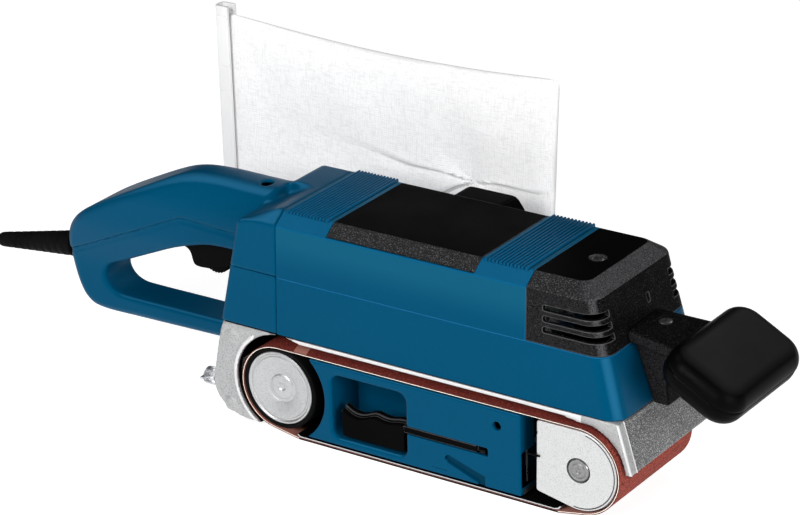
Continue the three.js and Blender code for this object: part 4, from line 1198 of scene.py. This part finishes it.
def make_lever():
    wave = spline([(-14, 25), (-19, 24.6), (-24.5, 23.4), (-29, 23.6), (-33.4, 24.4), (-37, 23.6), (-40.2, 22.2),
                   (-44, 21.2), (-48.1, 21.4), (-51.5, 22.8), (-54.5, 24.6)], 5)
    foot = soften([(-54.5, 18), (-54.5, 9), (-14, 9), (-14, 18)], 2.5, 4)
    front, back = np.vstack([foot, wave]), np.vstack([foot, wave + (0, 1.7)])
    loops = []
    for shape, depth, inset in (
        (front, -36.5, 0.6), (front, -36.3, 0.2), (front, -35.9, 0), (front, -32.9, 0), (front, -32.6, 0.3),
        (back, -32.6, 0.3), (back, -32.3, 0), (back, -28.9, 0), (back, -28.5, 0.5),
    ):
        flat = offset(shape, inset)
        loops.append(placed("Y", np.column_stack([flat, np.full(len(flat), depth)])))
    made = piece("tension_lever_skin", loops_mesh(loops))
    dress(bevelled(made, 0.3, 2, 40, BLACK_EDGE_HIGHLIGHT), "lever", GLOSS, ["tension_lever"])
    weighted(made)
    arm_z = (SLOT_Z[0] + 0.6, SLOT_Z[1] - 0.6)
    arm = piece("tension_lever_arm", box_mesh((-13.9, 32), (-36.5, -29), arm_z))
    join(arm, turned("Z", 32, -30.5, [(0, arm_z[0]), (3.9, arm_z[0]), (3.9, arm_z[1]), (0, arm_z[1])], 32))
    cut(arm, turned("Z", 32, -30.5, [(0, 0), (2.1, 0), (2.1, 60), (0, 60)], 24))
    dress(bevelled(arm, 0.3, 2, 40, BLACK_EDGE_HIGHLIGHT), "lever", GLOSS)
    weighted(arm)


# ---- handles and controls ----
def make_front_handle():
    joint = 141.0

    def bracket(x, y, z):
        side = [(nose_at(57) + 0.3, 57), (nose_at(57) + 9.3, 57), (nose_at(80) + 14.3, 80), (joint, 91),
                (joint, 99.6), (nose_at(99.6) + 0.3, 99.6)]
        front = [(-1, 57), (20.5, 57), (22.5, 88), (22.5, 99.8), (-4.5, 99.8), (-4.5, 88)]
        column = both(outline(side, x, z), outline(front, y, z), 1.2)
        plan = [(100, -7), (joint, -17.5), (joint, 22.5), (100, 20)]
        arm = both(both(outline(plan, x, y), nose_at(0) + 0.3 - x - z * NOSE_LEAN), slab(z, 91.6, 99.7), 2.8)
        f = either(column, arm, 0.6)
        f = without(f, both(np.hypot(x - 120, y - MID) - 5.0, 98.9 - z), 0.5)
        return without(f, both(np.hypot(x - 120, y - MID) - 2.4, 80 - z))

    made = piece("handle_bracket_skin", field_mesh(bracket, (100, -19, 56), (142, 24, 101), STEP_FINE))
    dress(made, "root", GRAINED, ["handle_bracket"], 50)
    weighted(made)

    tilt = -0.5
    c, s = math.cos(tilt), math.sin(tilt)

    def knob(x, y, z):
        dx, dz = x - 158.5, z - 84.3
        u, v, w = dx * c + dz * s, -dx * s + dz * c, y - MID
        plan = np.hypot(np.maximum(np.abs(u) - 10, 0), np.maximum(np.abs(w) - 26, 0)) - 14
        bulge = 1.2 * (1 - np.clip((u / 24) ** 2, 0, 1)) * (1 - np.clip((w / 40) ** 2, 0, 1))
        f = both(plan, np.abs(v) - 11.3 - bulge, 9.5)
        crease = np.hypot(plan + 0.2, v - 1.5) - 0.5
        f = without(f, crease, 0.3)
        return without(f, block(x, y, z, (110, 136), (-14, 20), (84, 110), 0.3), 0.3)

    made = piece("front_knob_skin", field_mesh(knob, (130, -32, 48), (200, 52, 120), STEP_FINE))
    dress(made, "root", KNOB, ["front_knob"], 60)
    cross_screw("knob_screw_head", "knob_screw", "Z", 120, MID, 100.2, 3.8, 2.0, 10)


def make_controls():
    shape = soften([(-193, 86), (-193, 79.5), (-184.5, 75.4), (-182.5, 67.6), (-179, 66.4), (-169, 67.2),
                    (-161, 70), (-150, 75), (-150, 86)], 2.5, 5, True)

    def trigger(x, y, z):
        f = both(outline(shape, x, z), slab(y, MID - 7.5, MID + 7.5), 1.6)
        f = without(f, both(np.hypot(x + 169, z - 73.5) - 10.6, slab(y, MID - 4, MID + 4)), 0.3)
        f = without(f, block(x, y, z, (-180, -158), (MID - 4, MID + 4), (50, 73), 0), 0.3)
        return without(f, np.hypot(x + 190, z - 84) - 1.9, 0.2)

    made = piece("trigger_skin", field_mesh(trigger, (-196, MID - 8, 63), (-149, MID + 8, 87), STEP_FINE))
    dress(made, "trigger", BLACK, ["trigger"], 50)
    weighted(made)
    count = 30
    turn = np.linspace(0, 2 * math.pi, count * 4, endpoint=False)
    radius = 9.45 + 0.35 * np.clip(np.sin(turn * count) * 1.6, -1, 1)
    ring = np.stack([-169 + radius * np.cos(turn), 73.5 + radius * np.sin(turn)], 1)
    wheel = piece("speed_wheel_skin", prism("Y", ring, MID - 3.6, MID + 3.6, 0.5, 2))
    dress(wheel, "dial", BLACK, ["speed_wheel"])
    button = [(0, 23), (5, 23), (5, 30.2), (4.7, 31), (4.1, 31.5), (3.3, 31.8), (2.6, 31.6), (0, 31.3)]
    button = piece("lock_button_skin", turned("Y", -208, 96, button, 48))
    dress(button, "lock", BLACK, ["lock_button"])
    profile = [(0, 0), (3.2, 0), (3.9, 0.5), (4.3, 1.6)]
    for k in range(9):
        start = 6 + k * 5.6
        base = 4.3 + (7.6 - 4.3) * start / 58
        profile += [(base, start), (base + 0.12, start + 2.6), (base - 0.1, start + 3.0), (base - 0.1, start + 3.6)]
    profile += [(7.7, 57.6), (7.5, 58.4), (5.9, 59.5), (5.9, 70.5), (7.4, 70.5), (7.4, 73.2), (7.1, 73.5), (0, 73.5)]
    boot = piece("cable_boot_skin", turned("X", 0, 0, profile, 56))
    cut(boot, turned("X", 0, 0, [(0, -1), (3.4, -1), (3.4, 80), (0, 80)], 32))
    place = Matrix.Translation(Vector(CORD_TIP) * MM) @ Matrix.Rotation(CORD_TILT, 4, "Y")
    boot.data.transform(place)
    dress(boot, "root", RUBBER, ["cable_boot"], 40)


# ---- drive cover and dust extraction ----
def make_drive_cover():
    shape = [(-124.5, 57.4), (-124.5, 8), (-118, 2), (-72, 2), (-64.5, 10), (-64.5, 57.4)]
    hollow = [(-122, 60), (-122, 9), (-117, 4.2), (-73, 4.2), (-67, 11), (-67, 60)]
    made = piece("drive_cover_skin", prism("Y", soften(shape, 3, 5, True), 41.3, 54.5, 1.4, 4))
    cut(made, prism("Y", hollow, 40, 52, 0))
    for x in COVER_SCREW_X:
        join(made, turned("Y", x, COVER_SCREW_Z, [(0, 41.3), (3.6, 41.3), (3.6, 53), (0, 53)], 32))
    for x in COVER_SCREW_X:
        cut(made, turned("Y", x, COVER_SCREW_Z, [(0, 40), (1.8, 40), (1.8, 56), (0, 56)], 24))
    cut(made, box_mesh((-140, -40), (40, 57), (53.3, 70)))
    for k in range(5):
        z = 20 + k * 5
        cut(made, prism("Y", rounded(-108, -82, z, z + 1.6, 0.8, 4), 53.9, 56, 0))
    dress(bevelled(made, 0.25), "root", GRAINED, ["drive_cover"])
    weighted(made)
    for end, x in zip(("rear", "front"), COVER_SCREW_X):
        profile = [(0, 39), (1.5, 39), (1.5, 54.8), (2.5, 54.8), (2.8, 55.1), (2.8, 56.2), (2.4, 56.6), (0, 56.6)]
        head = piece(f"cover_screw_{end}_skin", turned("Y", x, COVER_SCREW_Z, profile, 32))
        cut(head, prism("Y", circle(x, COVER_SCREW_Z, 1.2, 6), 55.4, 57, 0))
        dress(head, "root", STEEL, [f"cover_screw_{end}"])


SPOUT = (-26, 98)  # x and z of the dust spout


def make_dust_port():
    shape = np.array([(-49, 86), (-2, 86), (-3, 112.5), (-9, 120.5), (-40, 120.5), (-49, 112)])
    hollow = (shape - (-26, 103)) * (0.88, 0.84) + (-26, 103)
    made = piece("dust_port_skin", prism("Y", soften(shape, 3, 5, True), 54.5, 72, 1.4, 4))
    spout = turned("Y", *SPOUT, [(0, 70), (13, 70), (13, 78.7), (12.5, 79.2), (0, 79.2)], 64)
    join(made, spout)
    flange = soften(np.array([(-54, 80), (2, 80), (2, 120), (-54, 120)]), 4, 5, True)
    join(made, prism("Y", flange, 54.4, 57, 0.5, 2))
    cut(made, prism("Y", hollow, 50, 69, 0))
    cut(made, turned("Y", *SPOUT, [(0, 65), (10.6, 65), (10.6, 90), (0, 90)], 64))
    for k in range(4):
        z = 89 + k * 3
        cut(made, prism("Y", rounded(-46, -41, z, z + 1.2, 0.5, 3), 71.3, 73, 0))
    dress(bevelled(made, 0.3, 2, 40, BLACK_EDGE_HIGHLIGHT), "root", GLOSS, ["dust_port"])
    weighted(made)
    profile = [(13.3, 74.4), (13.7, 74), (15.6, 74), (16.6, 74.6), (17, 75.4), (17, 80.6), (16.5, 81.2), (13.3, 81.2)]
    collar = piece("bag_collar_skin", turned("Y", *SPOUT, profile, 72, True))
    dress(collar, "bag", BLACK, ["bag_collar"])


def make_clip():
    (x0, x1), (y0, y1), (z0, z1) = span("bag_clip")
    section = [
        (x1, y0), (x1, y0 + 1.9), (x0 + 2.3, y0 + 2.1), (x0 + 2.1, y0 + 2.6), (x0 + 2.1, y1 - 2.6),
        (x0 + 2.3, y1 - 2.1), (x1, y1 - 1.9), (x1, y1), (x0 + 2.5, y1), (x0 + 0.7, y1 - 0.8), (x0, y1 - 2.5),
        (x0, y0 + 2.5), (x0 + 0.7, y0 + 0.8), (x0 + 2.5, y0),
    ]
    made = piece("bag_clip_skin", prism("Z", section, z0, z1, 0.5, 2))
    for z in (z0 + 8, z0 + 84, z0 + 100, z1 - 6):
        cut(made, box_mesh((x0 - 1, x1 + 1), (y0 - 1, y0 + 0.45), (z, z + 0.5)))
    dress(bevelled(made, 0.25), "clip", WHITE, ["bag_clip"])
    weighted(made)


def make_bag():
    (x0, x1), (y0, y1), (z0, z1) = span("dust_bag")
    middle = (y0 + y1) / 2
    flat = rounded(x0, x1, z0, z1, 5, 6)
    bag = piece("dust_bag_skin", prism("Y", flat, middle - 2.0, middle + 2.0, 0.8, 2))
    change = bag.modifiers.new("remesh", "REMESH")
    change.mode = "VOXEL"
    change.voxel_size = 4.5 * MM
    flattened(bag)
    inflate(bag)
    change = bag.modifiers.new("subdivide", "SUBSURF")
    change.levels = change.render_levels = 2
    flattened(bag)
    shape_bag(bag, middle)
    dress(bag, "bag", COTTON, ["dust_bag"], 80)


def inflate(bag):
    """Blows the flat bag up as cloth, with its clip end and the ring round its port held."""
    (x0, _), _, _ = span("dust_bag")
    start = [v.co.copy() for v in bag.data.vertices]
    group = bag.vertex_groups.new(name="held")
    for i, co in enumerate(start):
        if co.x / MM < x0 + 8 or math.hypot(co.x / MM - SPOUT[0], co.z / MM - SPOUT[1]) < 17:
            group.add([i], 1.0, "REPLACE")
    cloth_change = bag.modifiers.new("cloth", "CLOTH")
    settings = cloth_change.settings
    settings.effector_weights.gravity = 0
    settings.use_pressure = True
    settings.uniform_pressure_force = 4
    settings.vertex_group_mass = "held"
    settings.quality = 6
    settings.mass = 0.2
    settings.tension_stiffness = settings.compression_stiffness = 25
    settings.shear_stiffness = 12
    settings.bending_stiffness = 0.8
    for frame_number in range(1, 21):
        bpy.context.scene.frame_set(frame_number)
    flattened(bag)
    bpy.context.scene.frame_set(1)
    for vertex, before in zip(bag.data.vertices, start):
        move = vertex.co - before
        if move.length > 11 * MM:
            vertex.co = before + move * (11 * MM / move.length)


GATHER = (-50.6, 113)  # where the bag's cloth is drawn in beside the port
CREASES = [  # the cloth's height round that point: angle in degrees and share of the crease depth
    (0, -0.55), (4, -0.5), (7, 0.6), (15, 0.4), (45, 0.2), (90, 0), (140, 0.3), (171, 0.9), (174.5, -0.5), (188, 0.1),
    (204, 0.55), (208, -0.9), (218, -0.3), (240, 0.3), (270, 0.1), (320, 0.1), (345, -0.4), (360, -0.55),
]


def shape_bag(bag, middle):
    """Fits the blown bag to its size, sags its top edge and draws creases towards the port."""
    (x0, x1), (y0, y1), (z0, z1) = span("dust_bag")
    co = np.array([v.co for v in bag.data.vertices]) / MM
    low, high = co.min(0), co.max(0)
    rail = x0 - 4.5
    x = rail + (co[:, 0] - low[0]) * (x1 - 0.9 - rail) / (high[0] - low[0])
    z = z0 + (co[:, 2] - low[2]) * (z1 + 1.2 - z0) / (high[2] - low[2])
    y = co[:, 1]
    across = np.clip((x - x0) / (x1 - x0), 0, 1)
    up = (z - z0) / (z1 - z0)
    side = np.where(y < middle, -1, 1)
    edge = np.clip(np.minimum(np.minimum(x - x0, x1 - x), np.minimum(z - z0, z1 - z)) / 12, 0, 1)
    ripple = 0.9 * np.sin(x / 17 + 1.3 * np.sin(z / 23)) * np.sin(z / 31 + 0.7) + 0.35 * np.sin(x / 7 + z / 19)
    dx, dz = x - GATHER[0], z - GATHER[1]
    away = np.hypot(dx, dz)
    angle = (np.degrees(np.arctan2(dz - 1.1 * np.sin(away / 9), dx)) + 360) % 360
    turn, share = np.array(CREASES).T
    fold = 6.5 * np.interp(angle, turn, share) * (1 - np.exp(-away / 8)) * np.exp(-away / 42)
    hem = -0.35 * np.exp(-(((x - x1 + 5) / 1.0) ** 2))
    y = y + side * ((fold + ripple) * edge + hem)
    hold = np.clip((x - rail) / 9, 0, 1)
    flat = np.clip(y - middle, -1.3, 1.3) + middle
    y = flat + (y - flat) * hold
    z = z - 3.8 * np.sin(math.pi * across) * up**3
    x = x - 6.5 * (1 - up) * np.clip(across - 0.5, 0, 1) ** 2 * 4
    made = np.column_stack([x, np.clip(y, y0 - 1.5, y1 + 1.5), z]) * MM
    bag.data.vertices.foreach_set("co", made.ravel())
    bag.data.update()


# ---- hidden pieces keep their CAD solids ----
def dress_hidden():
    looks = {
        STEEL: ["drum_shaft", "drum_bearing_inner", "drum_bearing_outer", "roller_bearing_near", "roller_bearing_far",
                "lever_pin", "tension_spring", "armature_core", "armature_shaft", "motor_bearing_front",
                "motor_bearing_rear", "bevel_pinion", "lay_shaft", "bevel_gear", "lay_bearing_near",
                "lay_bearing_far"],
        CAST: ["front_roller", "gear_case"],
        COPPER: ["commutator"],
        BRASS: ["brush_holder_near", "brush_holder_far"],
        GRAPHITE: ["stator", "switch_body", "electronics_module", "sole_pad"],
        RUBBER: ["drive_belt"],
        WHITE: ["large_pulley", "small_pulley", "cooling_fan"],
    }
    look_of = {node: material for material, nodes in looks.items() for node in nodes}
    for obj in bpy.data.objects:
        if obj.type == "MESH" and obj.name in look_of:
            obj.data.materials.clear()
            obj.data.materials.append(look_of[obj.name])


STEP_ORGANIC, STEP_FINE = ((0.9, 0.6))
PLATE = machined("brushed_plate", (0.62, 0.625, 0.625), 0.4, ROLLER)

make_camera()
make_studio()
make_housing()
make_panel()
make_ribs()
make_front_cap()
make_rear_shells()
make_casting()
make_belt()
make_drum()
make_frame_plate()
make_carriage()
make_lever()
make_front_handle()
make_controls()
make_drive_cover()
make_dust_port()
make_clip()
make_bag()
dress_hidden()
